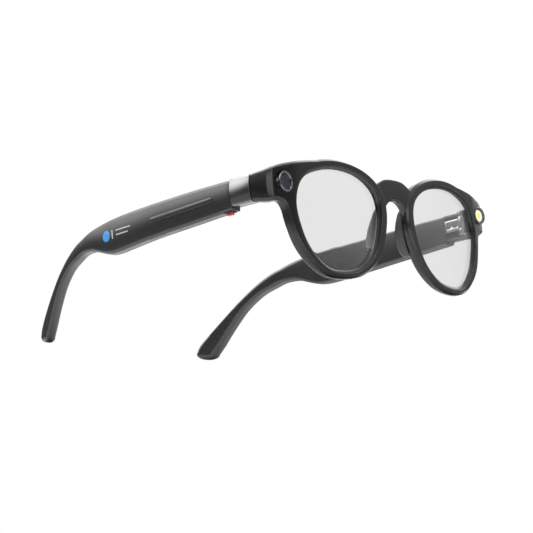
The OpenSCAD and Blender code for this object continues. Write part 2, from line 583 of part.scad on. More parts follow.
module arm_shell_right() right_arm() color([0.14, 0.14, 0.15]) difference() {
  arm_shell();
  touch_zone(xs - 0.5, xo + 1, gap);
  dot_zone(xs - 0.4, xs + 1, gap);
  bar_zone(xs - 0.4, xs + 1, gap);
  line_zone(xs - 0.4, xs + 1, gap);
  button_hole();
  rod_z(0, 6, cav_x - 1.6, mic_y, 0.5);
}
contact_y = [fold_y + 0.3 * arm_straight, fold_y + 0.35 * arm_straight];
module contact(y, d) union() {
  rod_x(xi - 0.01, seam_x - seam + 0.3, y, 10.2, 0.8 + d);
  rod_x(xi - 0.01, xi + 0.5, y, 10.2, 1.2 + d);
}
module arm_cover_right() right_arm() color([0.12, 0.12, 0.13]) difference() {
  arm_cover();
  for (y = contact_y) contact(y, gap);
}
module charge_contacts() right_arm() color([0.85, 0.7, 0.3]) for (y = contact_y) intersection() {
  contact(y, 0);
  box(xi, xi + 5, 0, 90, 0, 20);
}
module cover_screws_right() right_arm() color([0.3, 0.3, 0.32]) cover_screws();
module band_right() right_arm() color([0.78, 0.79, 0.8]) band();
module ear_core_right() right_arm() color([0.6, 0.6, 0.62]) core_solid(1.6);
module speaker_right() right_arm() color([0.25, 0.25, 0.27]) speaker();
module speaker_mesh_right() right_arm() color([0.35, 0.35, 0.37]) speaker_mesh();
module main_board() right_arm() color([0.1, 0.35, 0.2]) union() {
  box(seam_x + 0.4, seam_x + 1.1, boss_y[0] + 2.2, boss_y[1] - 2.2, 5.4, 13.8);
  box(seam_x + 1, seam_x + 1.9, boss_y[0] + 9, boss_y[0] + 15, 6.6, 12.6);
  box(seam_x + 1, seam_x + 1.7, boss_y[0] + 3.4, boss_y[0] + 7.4, 8, 12);
}
module battery_right() right_arm() color([0.55, 0.57, 0.6]) battery();
mic_y = fold_y + 0.47 * arm_straight;
module microphone() right_arm() color([0.7, 0.65, 0.4])
  box(cav_x - 2.5, cav_x - 0.4, mic_y - 1.6, mic_y + 1.6, z_low(mic_y) + wall + 0.1, z_low(mic_y) + wall + 1);
module button_ring() right_arm() color([0.06, 0.06, 0.07]) difference() {
  box(btn_x - btn_w / 2 - 0.6, btn_x + btn_w / 2 + 0.6, btn_y - btn_l / 2 - 0.7, btn_y + btn_l / 2 + 0.7, 3.55, 5.3);
  box(btn_x - btn_w / 2 - run, btn_x + btn_w / 2 + run, btn_y - btn_l / 2 - run, btn_y + btn_l / 2 + run, 0, 6);
}
module button_cap() right_arm() color([0.8, 0.12, 0.13]) union() {
  box(btn_x - btn_w / 2, btn_x + btn_w / 2, btn_y - btn_l / 2, btn_y + btn_l / 2, 2.75, 5.4);
  box(btn_x - btn_w / 2 - 0.25, btn_x + btn_w / 2 + 0.25, btn_y - btn_l / 2 - 0.3, btn_y + btn_l / 2 + 0.3, 5.35, 5.8);
}
module button_switch() right_arm() color([0.5, 0.5, 0.52]) union() {
  box(btn_x - 1.2, btn_x + 1.2, btn_y - 1.5, btn_y + 1.5, 5.8 + btn_travel + 0.4, 8.4);
  rod_z(5.8 + btn_travel + 0.05, 5.8 + btn_travel + 0.5, btn_x, btn_y, 0.6);
}

front_frame();
lens_right();
lens_left();
nose_pad_right();
nose_pad_left();
brow_cover();
front_flex();
camera_ring();
camera_window();
camera_barrel();
camera_lens();
camera_board();
light_ring();
light_window();
light_emitter();
light_board();
end_cover_right();
end_cover_left();
front_leaf_right();
front_leaf_left();
front_leaf_screws();
hinge_pin_right();
hinge_pin_left();
band_right();
arm_shell_right();
arm_cover_right();
arm_leaf_right();
arm_leaf_screws_right();
cover_screws_right();
ear_core_right();
touch_bar();
accent_dot();
accent_bar();
accent_lines();
main_board();
battery_right();
speaker_right();
speaker_mesh_right();
microphone();
charge_contacts();
button_ring();
button_switch();
button_cap();
band_left();
arm_shell_left();
arm_cover_left();
arm_leaf_left();
arm_leaf_screws_left();
cover_screws_left();
ear_core_left();
sound_board();
battery_left();
speaker_left();
speaker_mesh_left();
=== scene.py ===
# %% [markdown]
# # Smart camera glasses
# The object is a pair of black glasses with a camera at one end piece, a small light at the other,
# and thick folding arms that hold the electronics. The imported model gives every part's place.
# This lesson adds the real surfaces: rounded mouldings, a brushed metal band, glass and lettering-free marks.

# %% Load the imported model
import math

import bmesh
import bpy
from mathutils import Matrix, Vector
from mathutils.geometry import delaunay_2d_cdt


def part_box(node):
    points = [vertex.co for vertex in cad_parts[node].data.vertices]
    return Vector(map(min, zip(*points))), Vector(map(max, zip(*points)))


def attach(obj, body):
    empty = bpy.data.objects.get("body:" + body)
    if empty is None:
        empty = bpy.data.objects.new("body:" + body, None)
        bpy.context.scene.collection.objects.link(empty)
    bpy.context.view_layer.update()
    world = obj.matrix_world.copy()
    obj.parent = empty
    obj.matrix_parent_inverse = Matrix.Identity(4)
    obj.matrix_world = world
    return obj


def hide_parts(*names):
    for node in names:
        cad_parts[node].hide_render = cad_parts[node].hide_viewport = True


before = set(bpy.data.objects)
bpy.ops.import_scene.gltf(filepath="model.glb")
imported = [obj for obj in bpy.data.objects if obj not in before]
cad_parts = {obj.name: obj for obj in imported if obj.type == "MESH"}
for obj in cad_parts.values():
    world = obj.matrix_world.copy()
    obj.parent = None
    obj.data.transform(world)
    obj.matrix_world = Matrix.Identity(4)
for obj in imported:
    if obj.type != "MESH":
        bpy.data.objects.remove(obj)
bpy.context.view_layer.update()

# %% [markdown]
# All lengths below are in millimetres, counted from the middle of the front and the hinge height.
# The model stands on its rims and arm tips, so two offsets turn these lengths into the shared frame.
# Both offsets come from the box of the camera ring, whose place in the design is known.

# %% Millimetres to the shared frame
MM = 0.001
EYE_X, EYE_Z, EYE_Y, EYE_R, LIGHT_R = 63.2, 11.9, 4.7, 4.1, 3.55
ring_lo, ring_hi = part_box("camera_ring")
Y_MID = EYE_Y - ring_lo.y / MM
REST = (ring_lo.z + ring_hi.z) / 2 / MM - EYE_Z


def at(x, y, z):
    return Vector((x, y - Y_MID, z + REST)) * MM


print("offsets", round(Y_MID, 2), round(REST, 2))

# %% [markdown]
# The camera looks slightly up at the wearer's right side, from low down and far away with a long lens.
# A long lens keeps the two arms nearly parallel. The camera is tilted a little about its own axis.

# %% Camera
AZ, EL, ROLL = math.radians(-51.88), math.radians(-12.07), math.radians(-6.67)
DISTANCE, LENS = 1323.1, 226.3
TILT = math.radians(1.4)
away = Vector((math.sin(AZ) * math.cos(EL), -math.cos(AZ) * math.cos(EL), math.sin(EL)))
level = Vector((math.cos(AZ), math.sin(AZ), 0))
upright = away.cross(level)
cam_x = math.cos(ROLL) * level + math.sin(ROLL) * upright
cam_y = -math.sin(ROLL) * level + math.cos(ROLL) * upright
aim = -52.5 * cam_x - 16.08 * cam_y
stand = Matrix.Rotation(-TILT, 3, "X")
eye_point = stand @ (aim + away * DISTANCE)
axes = Matrix((stand @ cam_x, stand @ cam_y, stand @ away)).transposed()
cam_data = bpy.data.cameras.new("studio_camera")
cam_data.lens = LENS
cam_data.sensor_width = 36
cam_data.clip_start, cam_data.clip_end = 0.05, 50
camera = bpy.data.objects.new("studio_camera", cam_data)
camera.matrix_world = Matrix.Translation(at(*eye_point)) @ axes.to_4x4()
bpy.context.collection.objects.link(camera)
bpy.context.scene.camera = camera
print("camera at", [round(v, 3) for v in camera.location])

# %% [markdown]
# A helper for shader nodes keeps every material short: it adds a node, sets its plain values and
# links its inputs. Effects that several materials share are node groups, built once.

# %% Shader helpers


def add(tree, kind, values=None, links=None, **settings):
    node = tree.nodes.new(kind)
    for key, value in settings.items():
        setattr(node, key, value)
    for key, value in (values or {}).items():
        node.inputs[key].default_value = value
    for key, source in (links or {}).items():
        tree.links.new(source, node.inputs[key])
    return node


def new_group(name, ins, outs):
    group = bpy.data.node_groups.new(name, "ShaderNodeTree")
    for label, kind, value in ins:
        socket = group.interface.new_socket(label, in_out="INPUT", socket_type=kind)
        socket.default_value = value
    for label, kind in outs:
        group.interface.new_socket(label, in_out="OUTPUT", socket_type=kind)
    return group, add(group, "NodeGroupInput"), add(group, "NodeGroupOutput")


def place_group(tree, group, values=None, links=None):
    return add(tree, "ShaderNodeGroup", values, links, node_tree=group)


def two_tone(tree, low, high, amount):
    node = add(tree, "ShaderNodeMix", data_type="RGBA", links={0: amount})
    node.inputs[6].default_value, node.inputs[7].default_value = (*low, 1), (*high, 1)
    return node.outputs[2]


def local(tree):
    return add(tree, "ShaderNodeTexCoord").outputs["Object"]


FLOAT, VECTOR = "NodeSocketFloat", "NodeSocketVector"
print("shader helpers ready")

# %% [markdown]
# Moulded plastic is never quite smooth. Fine texture from the mould is about a tenth of a millimetre
# across, and slow waves of a few millimetres come from shrinkage. The group gives one height for both.

# %% Group: moulded grain
grain, g_in, g_out = new_group(
    "moulded_grain",
    [("Scale", FLOAT, 5000.0), ("Waves", FLOAT, 180.0), ("Wave amount", FLOAT, 0.3)],
    [("Height", FLOAT), ("Mask", FLOAT)],
)
coords = local(grain)
fine = add(grain, "ShaderNodeTexNoise", {"Detail": 2.0, "Roughness": 0.6},
           {"Vector": coords, "Scale": g_in.outputs["Scale"]})
slow = add(grain, "ShaderNodeTexNoise", {"Detail": 1.0},
           {"Vector": coords, "Scale": g_in.outputs["Waves"]})
waved = add(grain, "ShaderNodeMath", operation="MULTIPLY",
            links={0: slow.outputs["Fac"], 1: g_in.outputs["Wave amount"]})
height = add(grain, "ShaderNodeMath", operation="ADD", links={0: fine.outputs["Fac"], 1: waved.outputs[0]})
grain.links.new(height.outputs[0], g_out.inputs["Height"])
grain.links.new(slow.outputs["Fac"], g_out.inputs["Mask"])
print("group:", grain.name)

# %% [markdown]
# Edges that are touched every day turn a little brighter and smoother. The mask is the mesh's own
# curvature, broken up with noise so that the wear isn't an even line.

# %% Group: edge wear
wear, w_in, w_out = new_group(
    "edge_wear",
    [("Start", FLOAT, 0.53), ("End", FLOAT, 0.62), ("Break up", FLOAT, 900.0)],
    [("Mask", FLOAT)],
)
shape_info = add(wear, "ShaderNodeNewGeometry")
coords = local(wear)
breaks = add(wear, "ShaderNodeTexNoise", {"Detail": 3.0},
             {"Vector": coords, "Scale": w_in.outputs["Break up"]})
edge = add(wear, "ShaderNodeMapRange", links={
    "Value": shape_info.outputs["Pointiness"], "From Min": w_in.outputs["Start"],
    "From Max": w_in.outputs["End"]})
broken = add(wear, "ShaderNodeMath", operation="MULTIPLY",
             links={0: edge.outputs["Result"], 1: breaks.outputs["Fac"]})
wear.links.new(broken.outputs[0], w_out.inputs["Mask"])
print("group:", wear.name)

# %% [markdown]
# Skin oil and fine dust change only how sharp a reflection is. The group gives blotches about a
# centimetre across, mixed with small specks, as a roughness to add.

# %% Group: handling marks
marks, m_in, m_out = new_group(
    "handling_marks",
    [("Blotches", FLOAT, 90.0), ("Specks", FLOAT, 2500.0), ("Clean", FLOAT, 0.3), ("Soiled", FLOAT, 0.4)],
    [("Roughness", FLOAT), ("Mask", FLOAT)],
)
coords = local(marks)
blotch = add(marks, "ShaderNodeTexNoise", {"Detail": 4.0},
             {"Vector": coords, "Scale": m_in.outputs["Blotches"]})
speck = add(marks, "ShaderNodeTexNoise", {"Detail": 1.0},
            {"Vector": coords, "Scale": m_in.outputs["Specks"]})
blend = add(marks, "ShaderNodeMath", operation="MULTIPLY",
            links={0: blotch.outputs["Fac"], 1: speck.outputs["Fac"]})
soiled = add(marks, "ShaderNodeMapRange", {"From Min": 0.15, "From Max": 0.4}, {
    "Value": blend.outputs[0], "To Min": m_in.outputs["Clean"], "To Max": m_in.outputs["Soiled"]})
marks.links.new(soiled.outputs["Result"], m_out.inputs["Roughness"])
marks.links.new(blend.outputs[0], m_out.inputs["Mask"])
print("group:", marks.name)

# %% [markdown]
# Drawn and brushed metal has scratches along one direction. Noise stretched hard along that
# direction gives them; the axis is chosen by scaling the coordinates.

# %% Group: brushed lines
brush, b_in, b_out = new_group(
    "brushed_lines", [("Stretch", VECTOR, (1.0, 60.0, 60.0)), ("Scale", FLOAT, 120.0)], [("Height", FLOAT)])
coords = local(brush)
pulled = add(brush, "ShaderNodeVectorMath", operation="MULTIPLY",
             links={0: coords, 1: b_in.outputs["Stretch"]})
lines = add(brush, "ShaderNodeTexNoise", {"Detail": 3.0, "Roughness": 0.7},
            {"Vector": pulled.outputs[0], "Scale": b_in.outputs["Scale"]})
brush.links.new(lines.outputs["Fac"], b_out.inputs["Height"])
print("group:", brush.name)

# %% [markdown]
# Nearly all parts are plastic or plain metal, so one maker builds both: a base colour that wear
# lightens, a roughness that handling changes, and a bump from the grain.

# %% Material maker


def start_material(name, values=None):
    mat = bpy.data.materials.new(name)
    mat.use_nodes = True
    tree = mat.node_tree
    tree.nodes.clear()
    shader = add(tree, "ShaderNodeBsdfPrincipled", values)
    out = add(tree, "ShaderNodeOutputMaterial")
    tree.links.new(shader.outputs[0], out.inputs["Surface"])
    return mat, tree, shader


def worn_surface(name, color, worn, clean, soiled, metallic=0.0, grain_scale=6000.0, bump=0.03,
                 stretch=None, wave=0.3, specular=0.5):
    mat, tree, shader = start_material(name, {"Metallic": metallic, "Specular IOR Level": specular})
    edges = place_group(tree, wear)
    touch = place_group(tree, marks, {"Clean": clean, "Soiled": soiled})
    tree.links.new(two_tone(tree, color, worn, edges.outputs["Mask"]), shader.inputs["Base Color"])
    tree.links.new(touch.outputs["Roughness"], shader.inputs["Roughness"])
    if stretch:
        relief = place_group(tree, brush, {"Stretch": stretch})
    else:
        relief = place_group(tree, grain, {"Scale": grain_scale, "Wave amount": wave})
    raised = add(tree, "ShaderNodeBump", {"Strength": bump, "Distance": 0.0002},
                 {"Height": relief.outputs["Height"]})
    tree.links.new(raised.outputs[0], shader.inputs["Normal"])
    return mat


print("material maker ready")

# %% [markdown]
# The frame is polished black acetate, the arms are satin black nylon, and the pads are the same
# black as the frame but duller. The metals are a brushed steel band, bright hinge steel and gold contacts.

# %% Plastics and metals
frame_black = worn_surface("frame_black", (0.012, 0.012, 0.013), (0.03, 0.03, 0.031), 0.14, 0.2,
                           grain_scale=7000.0, bump=0.015, specular=0.6)
arm_black = worn_surface("arm_black", (0.012, 0.012, 0.0125), (0.03, 0.03, 0.031), 0.28, 0.34,
                         grain_scale=6000.0, bump=0.012, specular=0.8)
pad_black = worn_surface("pad_black", (0.028, 0.028, 0.03), (0.05, 0.05, 0.05), 0.36, 0.45, bump=0.05)
dark_plastic = worn_surface("dark_plastic", (0.012, 0.012, 0.013), (0.04, 0.04, 0.04), 0.22, 0.32)
ring_metal = worn_surface("ring_metal", (0.13, 0.13, 0.135), (0.4, 0.4, 0.42), 0.14, 0.2, metallic=1.0,
                          grain_scale=9000.0, bump=0.02)
band_steel = worn_surface("band_steel", (0.2, 0.2, 0.205), (0.3, 0.3, 0.3), 0.18, 0.26, metallic=1.0,
                          stretch=(60.0, 1.0, 60.0), bump=0.05)
hinge_steel = worn_surface("hinge_steel", (0.66, 0.66, 0.67), (0.85, 0.85, 0.85), 0.18, 0.28, metallic=1.0,
                           grain_scale=4000.0, bump=0.04)
dark_steel = worn_surface("dark_steel", (0.12, 0.12, 0.125), (0.4, 0.4, 0.4), 0.25, 0.35, metallic=1.0)
contact_gold = worn_surface("contact_gold", (0.83, 0.62, 0.28), (0.95, 0.8, 0.5), 0.15, 0.25, metallic=1.0)
button_red = worn_surface("button_red", (0.62, 0.012, 0.02), (0.8, 0.15, 0.12), 0.3, 0.4, bump=0.04)
print("plastics and metals ready")

# %% [markdown]
# Printed marks are thin ink: a flat bright colour with a faint mottle where the ink is thinner.
# The circuit boards and the battery sleeve sit inside the arms and get their own simple finishes.

# %% Inks, boards and battery sleeve


def printed_ink(name, thin, thick):
    mat, tree, shader = start_material(name)
    mottle = add(tree, "ShaderNodeTexNoise", {"Scale": 1800.0, "Detail": 3.0}, {"Vector": local(tree)})
    tree.links.new(two_tone(tree, thin, thick, mottle.outputs["Fac"]), shader.inputs["Base Color"])
    touch = place_group(tree, marks, {"Clean": 0.35, "Soiled": 0.5})
    tree.links.new(touch.outputs["Roughness"], shader.inputs["Roughness"])
    return mat


ink_blue = printed_ink("ink_blue", (0.03, 0.23, 0.62), (0.05, 0.33, 0.76))
ink_pale = printed_ink("ink_pale", (0.42, 0.43, 0.44), (0.58, 0.59, 0.6))


def circuit_board(name):
    mat, tree, shader = start_material(name)
    tracks = add(tree, "ShaderNodeTexBrick", {"Scale": 700.0, "Mortar Size": 0.12}, {"Vector": local(tree)})
    tracks.inputs["Color1"].default_value = (0.01, 0.11, 0.04, 1)
    tracks.inputs["Color2"].default_value = (0.012, 0.14, 0.05, 1)
    tracks.inputs["Mortar"].default_value = (0.03, 0.22, 0.08, 1)
    tree.links.new(tracks.outputs["Color"], shader.inputs["Base Color"])
    touch = place_group(tree, marks, {"Clean": 0.25, "Soiled": 0.4})
    tree.links.new(touch.outputs["Roughness"], shader.inputs["Roughness"])
    return mat


board_green = circuit_board("board_green")
battery_wrap = worn_surface("battery_wrap", (0.3, 0.32, 0.34), (0.5, 0.5, 0.5), 0.3, 0.42, bump=0.1, wave=1.2)
flex_amber = worn_surface("flex_amber", (0.45, 0.2, 0.04), (0.6, 0.35, 0.1), 0.25, 0.35)
print("inks and inner finishes ready")

# %% [markdown]
# The lenses are clear plastic with a coating. Real glass is a solid that bends light at both faces,
# so the mesh is a closed solid and the shader does the rest; a faint grey keeps it visible on white.

# %% Clear lenses


def clear_glass(name, tint):
    mat, tree, shader = start_material(name, {"Transmission Weight": 1.0, "IOR": 1.5})
    cloud = add(tree, "ShaderNodeTexNoise", {"Scale": 40.0, "Detail": 2.0}, {"Vector": local(tree)})
    tone = two_tone(tree, tint, [v * 1.02 for v in tint], cloud.outputs["Fac"])
    tree.links.new(tone, shader.inputs["Base Color"])
    touch = place_group(tree, marks, {"Clean": 0.0, "Soiled": 0.01})
    tree.links.new(touch.outputs["Roughness"], shader.inputs["Roughness"])
    return mat


lens_clear = clear_glass("lens_clear", (0.8, 0.8, 0.8))
cover_glass = clear_glass("cover_glass", (0.2, 0.23, 0.36))
print("lens materials ready")

# %% [markdown]
# A camera lens looks dark with a blue and violet sheen, because its coating reflects only part of the light.
# Here that sheen is painted into the base colour. Layer Weight's facing makes it blue where the dome faces
# the viewer, violet further out and dark at the grazing rim, so this painted highlight moves with the view.

# %% Coated camera lens and lit window
coated_lens, tree, shader = start_material("coated_lens", {"Coat Weight": 1.0})
facing = add(tree, "ShaderNodeLayerWeight", {"Blend": 0.35})
# Painted sheen: this ramp paints the blue and violet highlight into the base colour according to the viewing
# angle.
painted_sheen = add(tree, "ShaderNodeValToRGB", links={0: facing.outputs["Facing"]})
painted_sheen.color_ramp.elements[0].color = (0.08, 0.2, 0.9, 1)
painted_sheen.color_ramp.elements[1].color = (0.012, 0.01, 0.03, 1)
violet = painted_sheen.color_ramp.elements.new(0.45)
violet.color = (0.16, 0.07, 0.5, 1)
tree.links.new(painted_sheen.outputs["Color"], shader.inputs["Base Color"])
touch = place_group(tree, marks, {"Clean": 0.06, "Soiled": 0.1})
tree.links.new(touch.outputs["Roughness"], shader.inputs["Roughness"])

light_window, tree, shader = start_material(
    "light_window", {"Emission Strength": 0.45, "Coat Weight": 0.6, "Roughness": 0.25})
clouding = add(tree, "ShaderNodeTexNoise", {"Scale": 700.0}, {"Vector": local(tree)})
cream = two_tone(tree, (0.86, 0.84, 0.6), (0.95, 0.94, 0.78), clouding.outputs["Fac"])
tree.links.new(cream, shader.inputs["Base Color"])
tree.links.new(cream, shader.inputs["Emission Color"])

light_core, tree, shader = start_material("light_core", {"Emission Strength": 0.5, "Roughness": 0.3})
cells = add(tree, "ShaderNodeTexVoronoi", {"Scale": 1500.0}, {"Vector": local(tree)})
amber = add(tree, "ShaderNodeValToRGB", links={0: cells.outputs["Distance"]})
amber.color_ramp.elements[0].color = (0.95, 0.78, 0.05, 1)
amber.color_ramp.elements[1].color = (0.9, 0.62, 0.04, 1)
tree.links.new(amber.outputs["Color"], shader.inputs["Base Color"])
tree.links.new(amber.outputs["Color"], shader.inputs["Emission Color"])
print("camera and light materials ready")

# %% [markdown]
# Outlines are drawn as a few points with a smooth curve through them. The same curve rule as in the
# part's source keeps the Blender surfaces on the solid ones.

# %% Curves


def spline(points, steps, closed=False):
    n = len(points)
    out = []
    for i in range(n if closed else n - 1):
        if closed:
            a, b, c, d = (points[(i + k - 1) % n] for k in range(4))
        else:
            a, b, c, d = (points[min(max(i + k - 1, 0), n - 1)] for k in range(4))
        for j in range(steps):
            t = j / steps
            out.append(tuple(
                0.5 * (2 * q + (r - p) * t + (2 * p - 5 * q + 4 * r - s) * t * t
                       + (3 * q - p - 3 * r + s) * t ** 3)
                for p, q, r, s in zip(a, b, c, d)))
    if not closed:
        out.append(tuple(points[-1]))
    return out


def smooth(a, b, v):
    t = min(1.0, max(0.0, (v - a) / (b - a)))
    return t * t * (3 - 2 * t)


def lookup(rows, v):
    for (a, fa), (b, fb) in zip(rows, rows[1:]):
        if v <= b:
            return fa + (fb - fa) * max(0.0, (v - a)) / (b - a)
    return rows[-1][1]


def outward(loop):
    area = sum(p[0] * q[1] - q[0] * p[1] for p, q in zip(loop, loop[1:] + loop[:1]))
    sign = 1 if area > 0 else -1
    out = []
    for k in range(len(loop)):
        p, q = loop[k - 1], loop[(k + 1) % len(loop)]
        t = Vector((q[0] - p[0], q[1] - p[1])).normalized()
        out.append(Vector((t.y, -t.x)) * sign)
    return out


print("curve helpers ready")

# %% [markdown]
# Every piece is made from lists of points and faces. One helper turns them into an object, gives it
# a material and tells the frame which body it rides on and which plain part it stands for.

# %% Piece helper
WELD = 1e-6


def closed_mesh(name, points, faces):
    mesh = bpy.data.meshes.new(name)
    mesh.from_pydata([at(*p) for p in points], [], faces)
    bm = bmesh.new()
    bm.from_mesh(mesh)
    bmesh.ops.remove_doubles(bm, verts=bm.verts, dist=WELD)
    bmesh.ops.recalc_face_normals(bm, faces=bm.faces)
    bm.to_mesh(mesh)
    bm.free()
    return mesh


def piece(name, points, faces, mat, body, slot, replaces=(), crease=35):
    return finish_piece(name, closed_mesh(name, points, faces), mat, body, replaces, crease)


def finish_piece(name, mesh, mat, body, replaces, crease=35):
    mesh.materials.clear()
    mesh.materials.append(mat)
    mesh.shade_smooth()
    mesh.set_sharp_from_angle(angle=math.radians(crease))
    obj = bpy.data.objects.new(name, mesh)
    bpy.context.collection.objects.link(obj)
    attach(obj, body)
    if replaces:
        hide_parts(*replaces)
    return obj


def bridge_rings(rings, closed=True, cap_first=False, cap_last=False):
    points, faces = [], []
    for ring in rings:
        points += ring
    n = len(rings[0])
    for k in range(len(rings) - 1):
        for i in range(n if closed else n - 1):
            j = (i + 1) % n
            faces.append((k * n + i, k * n + j, (k + 1) * n + j, (k + 1) * n + i))
    if cap_first:
        faces.append(tuple(range(n)))
    if cap_last:
        faces.append(tuple(range((len(rings) - 1) * n, len(rings) * n)))
    return points, faces


def join_parts(parts):
    points, faces = [], []
    for p, f in parts:
        base = len(points)
        points += p
        faces += [tuple(i + base for i in face) for face in f]
    return points, faces


def mirrored(part):
    return [(-x, y, z) for x, y, z in part[0]], part[1]


def sided(part, sign):
    return part if sign > 0 else mirrored(part)


SIDES = {"left": 1, "right": -1}
ARM = {"left": "left_arm", "right": "right_arm"}
print("piece helper ready")

# %% [markdown]
# The front is one thin moulding: two rims, two end pieces that turn the corner towards the arms, and a
# bridge. It could be boxed out and subdivided, but its outline and its edge roundings are what the eye
# reads, so it is drawn flat, given its rounded profile, and only then bent round the face.

# %% Sizes of the front
SIDE_X, BRIDGE_W, LENS_H, LENS_Z = 73.0, 21.4, 41.7, -0.85
LENS_W = SIDE_X - 14.7 - BRIDGE_W / 2
LENS_X = BRIDGE_W / 2 + LENS_W / 2
WRAP_R, RIM_T = 365.0, 4.2
RIM_TOP, RIM_LOW, RIM_SIDE = 3.25, 2.3, 4.3
LEAN = math.radians(1.5)
LENS_SHAPE = [
    (0.5, 0.128), (0.452, -0.147), (0.353, -0.339), (0.195, -0.474), (0.021, -0.5),
    (-0.179, -0.459), (-0.347, -0.33), (-0.452, -0.131), (-0.5, 0.128), (-0.447, 0.318),
    (-0.273, 0.447), (-0.021, 0.5), (0.221, 0.471), (0.42, 0.363),
]
lens_loop = spline([(LENS_X + u * LENS_W, LENS_Z + v * LENS_H) for u, v in LENS_SHAPE], 12, closed=True)
lens_normals = outward(lens_loop)


def lens_ring(grow):
    return [(p[0] + n.x * grow, p[1] + n.y * grow) for p, n in zip(lens_loop, lens_normals)]


def rim_width(n):
    return n.x ** 2 * RIM_SIDE + n.y ** 2 * (RIM_TOP if n.y > 0 else RIM_LOW)


rim_loop = [(p[0] + n.x * rim_width(n), p[1] + n.y * rim_width(n)) for p, n in zip(lens_loop, lens_normals)]
print("lens opening", round(LENS_W, 1), "x", LENS_H)

# %% [markdown]
# Seen from above the outer skin follows a wide circle, turns back at the end piece, crosses a flat
# corner and runs back to the hinge. The path is stepped along once, so a flat outline can be laid on it.

# %% Path of the skin seen from above
TURN_X, BLOCK_Y, SOFT = 57.5, 15.5, 0.45


def front_y(x, depth=0.0):
    return WRAP_R - math.sqrt((WRAP_R - depth) ** 2 - x * x)


TURN = (TURN_X, front_y(TURN_X))
FACET_FRONT = (SIDE_X - 4.8, TURN[1] + 3.1)
FACET_BACK = (FACET_FRONT[0] + 1.9, FACET_FRONT[1] + 1.95)
corners = [TURN, FACET_FRONT, FACET_BACK, (SIDE_X, BLOCK_Y)]


def softened(p, q, r, reach):
    a, b = (Vector(v) - Vector(q) for v in (p, r))
    a, b, q = a.normalized() * reach, b.normalized() * reach, Vector(q)
    return [q + a * (1 - t) ** 2 + b * t * t for t in (0, 0.25, 0.5, 0.75, 1)]


bends = softened((TURN_X - 3, front_y(TURN_X - 3)), TURN, FACET_FRONT, 2.5)
bends += softened(TURN, FACET_FRONT, FACET_BACK, SOFT) + softened(FACET_FRONT, FACET_BACK, corners[3], SOFT)
path = [(bends[0].x, bends[0].x, bends[0].y)]
for q in bends[1:] + [Vector(corners[3])]:
    path.append((path[-1][0] + math.dist(path[-1][1:], q), q.x, q.y))
S_START, S_END = path[0][0], path[-1][0]
path_x = [(s, x) for s, x, y in path]
path_y = [(s, y) for s, x, y in path]
path_s = [(x, s) for s, x, y in path]
inner = spline([(60, 60, front_y(60, RIM_T)), (64, 63.6, 10.4), (67.5, 65.4, 11.4), (70.2, 66.3, 12.4),
                (74, 66.5, 13.8), (S_END, 66.5, BLOCK_Y)], 8)
inner_x = [(s, x) for s, x, y in inner]
inner_y = [(s, y) for s, x, y in inner]
KEEP, FLANK_BULGE = 1.6, 1.0


def on_front(s, z, depth):
    if s < S_START:
        x, y = s, front_y(s)
    else:
        x, y = lookup(path_x, s), lookup(path_y, s)
    turn = math.pi / 2 * smooth(62, 76.5, s)
    near = min(depth, KEEP)
    x, y = x - near * math.sin(turn), y + near * math.cos(turn)
    if depth > KEEP:
        part = (depth - KEEP) / (RIM_T - KEEP)
        back = (s, front_y(s, RIM_T)) if s < 60 else (lookup(inner_x, s), lookup(inner_y, s))
        pocket = smooth(58.3, 60, s) * (1 - smooth(65.4, 66.8, s))
        pocket *= smooth(5.6, 7.0, z) * (1 - smooth(15.4, 16.6, z))
        deep = back[1] + pocket * max(0.0, 11.6 - back[1])
        x, y = x + (back[0] - x) * part, y + (deep - y) * part
    x -= FLANK_BULGE * smooth(66, 74, s) * ((z - 11) / 6) ** 2
    lean = LEAN * (1 - smooth(64, 72, s))
    return x, y * math.cos(lean) - z * math.sin(lean), z * math.cos(lean) + y * math.sin(lean)


print("skin path ends at", round(S_END, 2), "side x", round(path[-1][1], 2))

# %% [markdown]
# The outer outline leaves the rim above the lens, runs out over the end piece to the hinge and comes
# back below it. Rings inside the outline carry the rounding of the front and back edges.

# %% Outline with its roundings
i_low = 9
i_top = max(i for i, p in enumerate(rim_loop) if p[1] > 15 and p[0] < 45)
over = spline([rim_loop[i_top - 6], rim_loop[i_top], (50.5, 21.6), (56, 20.8), (62, 19.6), (67, 18.5),
               (71.5, 17.7), (75, 17.0), (S_END, 16.3)], 8)[8:]
under = spline([(S_END, 5.5), (75, 5.1), (71.5, 4.8), (67, 4.7), (64.3, 3.8), (62.7, 1.2), (61.9, -2.0),
                rim_loop[i_low], rim_loop[i_low + 6]], 8)[:-9]
rear = [(S_END, 16.3 - 1.6 - 8.0 * k / 9) for k in range(9)]
outline = rim_loop[i_low:i_top] + over + rear + under
corner_top = i_top - i_low + len(over) - 1
corner_low = corner_top + len(rear) + 1
outline_normals = outward(outline)
FRONT_IN, BACK_IN, BACK_DEEP = 1.2, 0.9, 1.0


def outline_ring(inset):
    ring = []
    for k, (p, n) in enumerate(zip(outline, outline_normals)):
        if k == corner_top:
            n = Vector((0.2, 1.0))
        elif k == corner_low:
            n = Vector((0.2, -1.0))
        elif corner_top < k < corner_low:
            n = Vector((0.2, 0.0))
        ring.append((p[0] - n.x * inset, p[1] - n.y * inset))
    return ring


def eye_ring(radius, count=48):
    turns = [2 * math.pi * k / count for k in range(count)]
    return [(lookup(path_s, EYE_X + radius * math.cos(a)), EYE_Z + radius * math.sin(a)) for a in turns]


def inside(loop, p):
    hit = False
    for a, b in zip(loop, loop[1:] + loop[:1]):
        if (a[1] > p[1]) != (b[1] > p[1]) and p[0] < (b[0] - a[0]) * (p[1] - a[1]) / (b[1] - a[1]) + a[0]:
            hit = not hit
    return hit


